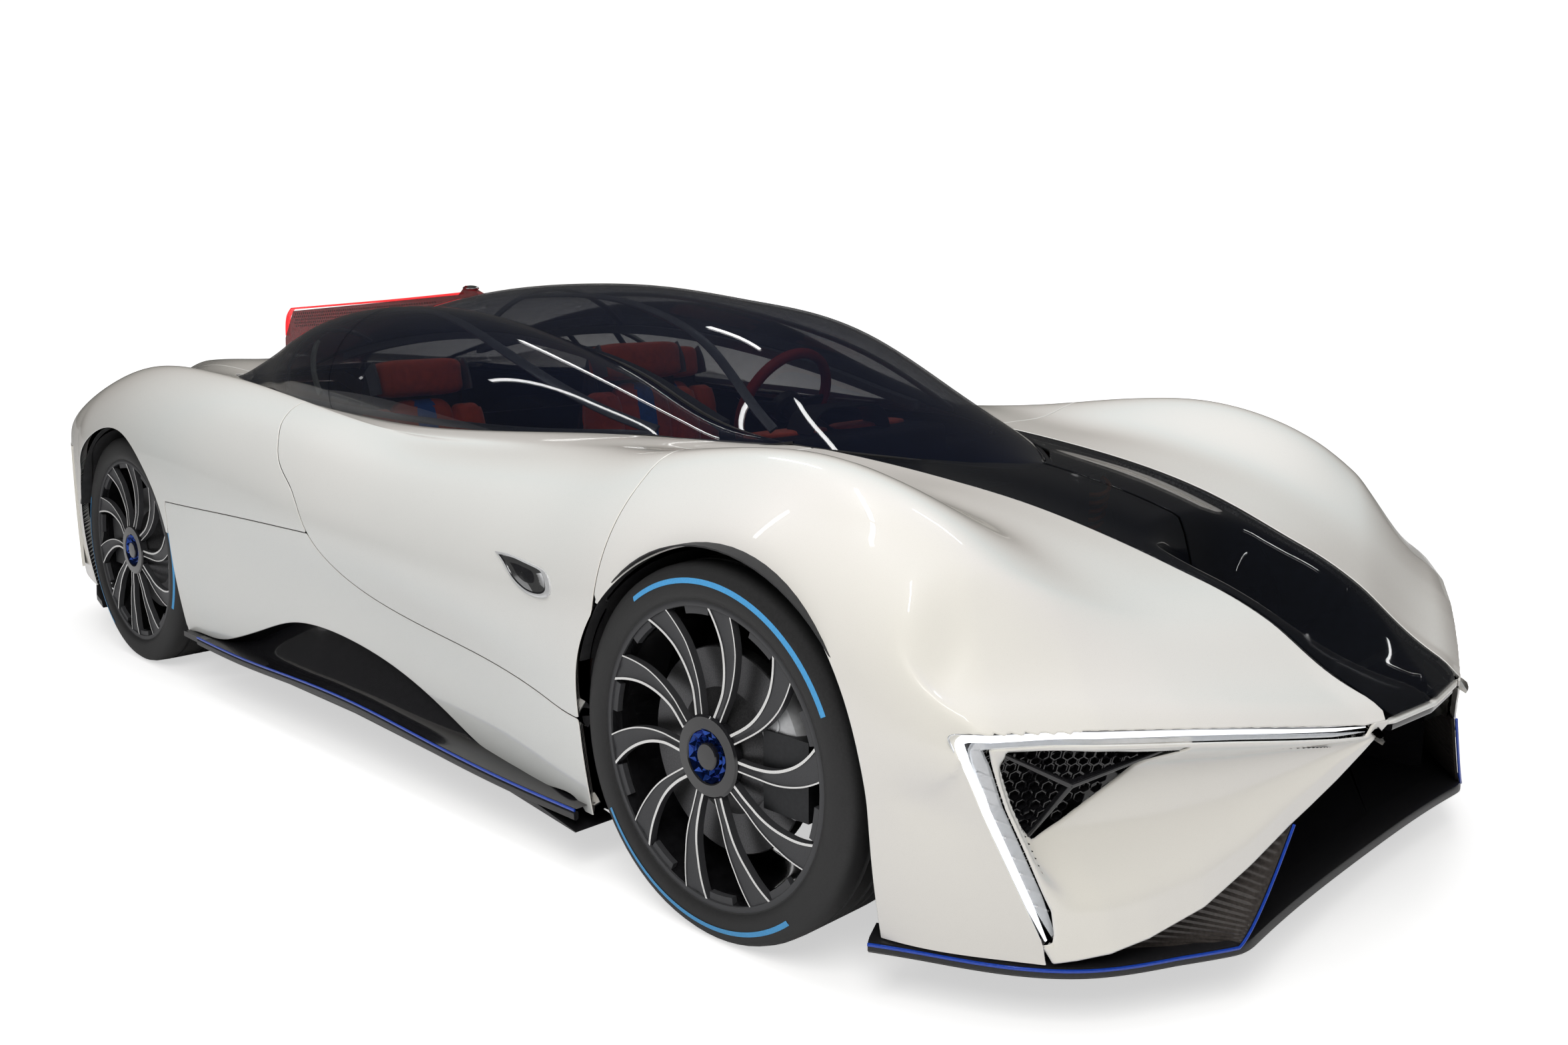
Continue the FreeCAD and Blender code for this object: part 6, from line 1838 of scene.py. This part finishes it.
def side_marks():
    """Leaf shaped chrome lamp on each door behind the front wheel."""
    outline = smooth_line([(724, 648), (690, 634), (640, 607), (590, 590), (530, 583), (475, 601), (500, 632),
                           (533, 641),
                           (600, 646), (660, 650), (724, 648)], 60)
    places = np.array(side_view(outline))
    middle = places.mean(0)
    near = (SKIN_POINTS[:, 0] > 0.80) & (np.abs(SIDE_PLACES -
                                                middle).max(1) < 0.22) & (SKIN_POINTS[:, 2] < 0.75)
    from_y, from_z, skin_x = SIDE_PLACES[near, 0], SIDE_PLACES[near, 1], SKIN_POINTS[near, 0]
    terms = np.stack([np.ones_like(from_y), from_y - middle[0], from_z - middle[1], (from_y - middle[0]) ** 2,
                      (from_z - middle[1]) ** 2, (from_y - middle[0]) * (from_z - middle[1])], -1)
    fit = np.linalg.lstsq(terms, skin_x, rcond=None)[0]

    def on_skin(spots, out):
        y, z = spots[:, 0] - middle[0], spots[:, 1] - middle[1]
        x = np.stack([np.ones_like(y), y, z, y ** 2, z ** 2, y * z], -1) @ fit
        return np.stack([x + out, spots[:, 0], spots[:, 1]], -1)

    rings = [(1.0, -0.002), (1.0, 0.0030), (0.93, 0.0042), (0.86, 0.0036), (0.80, 0.0012), (0.45, 0.0020),
             (0.03, 0.0030)]
    points = np.concatenate([on_skin(middle + (places - middle) * scale, out) for scale, out in rings])
    n = len(places)
    faces, kinds = [], []
    for level in range(len(rings) - 1):
        for k in range(n - 1):
            faces.append([level * n + k, level * n + k + 1, (level + 1) * n + k + 1, (level + 1) * n + k])
            kinds.append([0, 0, 0, 1, 2, 1][level])
    both_sides("side_lamp", points, faces, [BRIGHT_TRIM, GLOSS_BLACK, CHROME], body=DOORS,
               face_material=kinds)


side_marks()


# Stage

def plain_stage():
    """Pale floor and a world that is white to the camera and close to dark in reflections."""
    mesh = bpy.data.meshes.new("floor")
    size = 60
    mesh.from_pydata([(-size, -size, 0), (size, -size, 0), (size, size, 0), (-size, size, 0)], [],
                     [(0, 1, 2, 3)])
    floor = bpy.data.objects.new("floor", mesh)
    bpy.context.scene.collection.objects.link(floor)
    floor_material = material("floor", (0.78, 0.78, 0.79), 0.60)
    mesh.materials.append(floor_material)
    whiten(floor_material)
    world = bpy.data.worlds.new("studio")
    bpy.context.scene.world = world
    world.use_nodes = True
    nodes, links = world.node_tree.nodes, world.node_tree.links
    background = nodes["Background"]
    background.inputs["Color"].default_value = (1.0, 0.99, 0.965, 1)
    path = nodes.new("ShaderNodeLightPath")
    light = nodes.new("ShaderNodeMapRange")
    light.inputs["To Min"].default_value = WORLD_LIGHT
    light.inputs["To Max"].default_value = 1.15
    links.new(path.outputs["Is Camera Ray"], light.inputs["Value"])
    mirror = nodes.new("ShaderNodeMath")
    mirror.operation = "MULTIPLY_ADD"
    mirror.inputs[1].default_value = -WORLD_LIGHT * REFLECTION_LOSS
    links.new(path.outputs["Is Glossy Ray"], mirror.inputs[0])
    links.new(light.outputs["Result"], mirror.inputs[2])
    links.new(mirror.outputs["Value"], background.inputs["Strength"])


WORLD_LIGHT = 0.40
# share of the world's light that glossy rays don't see
REFLECTION_LOSS = 0.86


def whiten(made):
    """The floor shows near white to the camera, with soft shadows, without lighting the car more."""
    nodes, links = made.node_tree.nodes, made.node_tree.links
    shader = nodes["Principled BSDF"]
    path = nodes.new("ShaderNodeLightPath")
    grain = nodes.new("ShaderNodeTexNoise")
    grain.inputs["Scale"].default_value = 3
    span = nodes.new("ShaderNodeMapRange")
    span.inputs["To Min"].default_value = 0.56
    span.inputs["To Max"].default_value = 0.59
    links.new(grain.outputs["Fac"], span.inputs["Value"])
    places = nodes.new("ShaderNodeTexCoord")
    reach = nodes.new("ShaderNodeVectorMath")
    reach.operation = "LENGTH"
    links.new(places.outputs["Object"], reach.inputs[0])
    away = nodes.new("ShaderNodeMapRange")
    away.interpolation_type = "SMOOTHSTEP"
    away.inputs["From Min"].default_value = 2.5
    away.inputs["From Max"].default_value = 9.0
    away.inputs["To Min"].default_value = 0.0
    away.inputs["To Max"].default_value = 0.45
    links.new(reach.outputs["Value"], away.inputs["Value"])
    total = nodes.new("ShaderNodeMath")
    links.new(span.outputs["Result"], total.inputs[0])
    links.new(away.outputs["Result"], total.inputs[1])
    glow = nodes.new("ShaderNodeMath")
    glow.operation = "MULTIPLY"
    links.new(path.outputs["Is Camera Ray"], glow.inputs[0])
    links.new(total.outputs["Value"], glow.inputs[1])
    shader.inputs["Emission Color"].default_value = (1, 1, 1, 1)
    links.new(glow.outputs["Value"], shader.inputs["Emission Strength"])


def area_light(name, place, target, size, power, colour=(1, 1, 1)):
    """A rectangular lamp aimed at target."""
    lamp = bpy.data.lights.new(name, "AREA")
    lamp.shape = "RECTANGLE"
    lamp.size, lamp.size_y = size
    lamp.energy = power
    lamp.color = colour
    item = bpy.data.objects.new(name, lamp)
    bpy.context.scene.collection.objects.link(item)
    item.location = place
    item.rotation_euler = (Vector(target) - Vector(place)).to_track_quat("-Z", "Y").to_euler()
    return item


CAMERA_PLACE = (-2.6229, -3.2305, 1.2403)
CAMERA_YAW = math.radians(45.722)
CAMERA_PITCH = math.radians(-10.15)
CAMERA_ROLL = math.radians(0.158)


def photo_camera():
    """The camera, where the photo was taken from."""
    camera = bpy.data.objects.new("camera", bpy.data.cameras.new("camera"))
    bpy.context.scene.collection.objects.link(camera)
    camera.data.lens = 31.506
    camera.data.sensor_width = 36
    camera.location = CAMERA_PLACE
    camera.rotation_euler = (math.pi / 2 + CAMERA_PITCH, CAMERA_ROLL, -CAMERA_YAW)
    bpy.context.scene.camera = camera


plain_stage()
area_light("key", (-3.8, -3.6, 4.6), (0, -0.4, 0.4), (3.0, 3.0), 150,
           (1.0, 0.985, 0.95)).visible_glossy = False
area_light("top", (0.0, 0.5, 5.5), (0, 0, 0.5), (4.0, 7.0), 175).visible_glossy = False
area_light("rim", (4.5, 2.5, 3.0), (0, 0, 0.6), (2.5, 2.5), 60).visible_glossy = False
for number, (x, y) in enumerate(((-2.2, -2.6), (-1.1, -0.6), (-2.6, 1.4), (1.2, -1.8), (0.6, 1.6))):
    area_light("strip_%d" % number, (x, y, 4.4), (x * 0.3, y * 0.3, 0.5), (0.10, 1.5), 7)
photo_camera()

scene = bpy.context.scene
scene.view_settings.view_transform = "Standard"
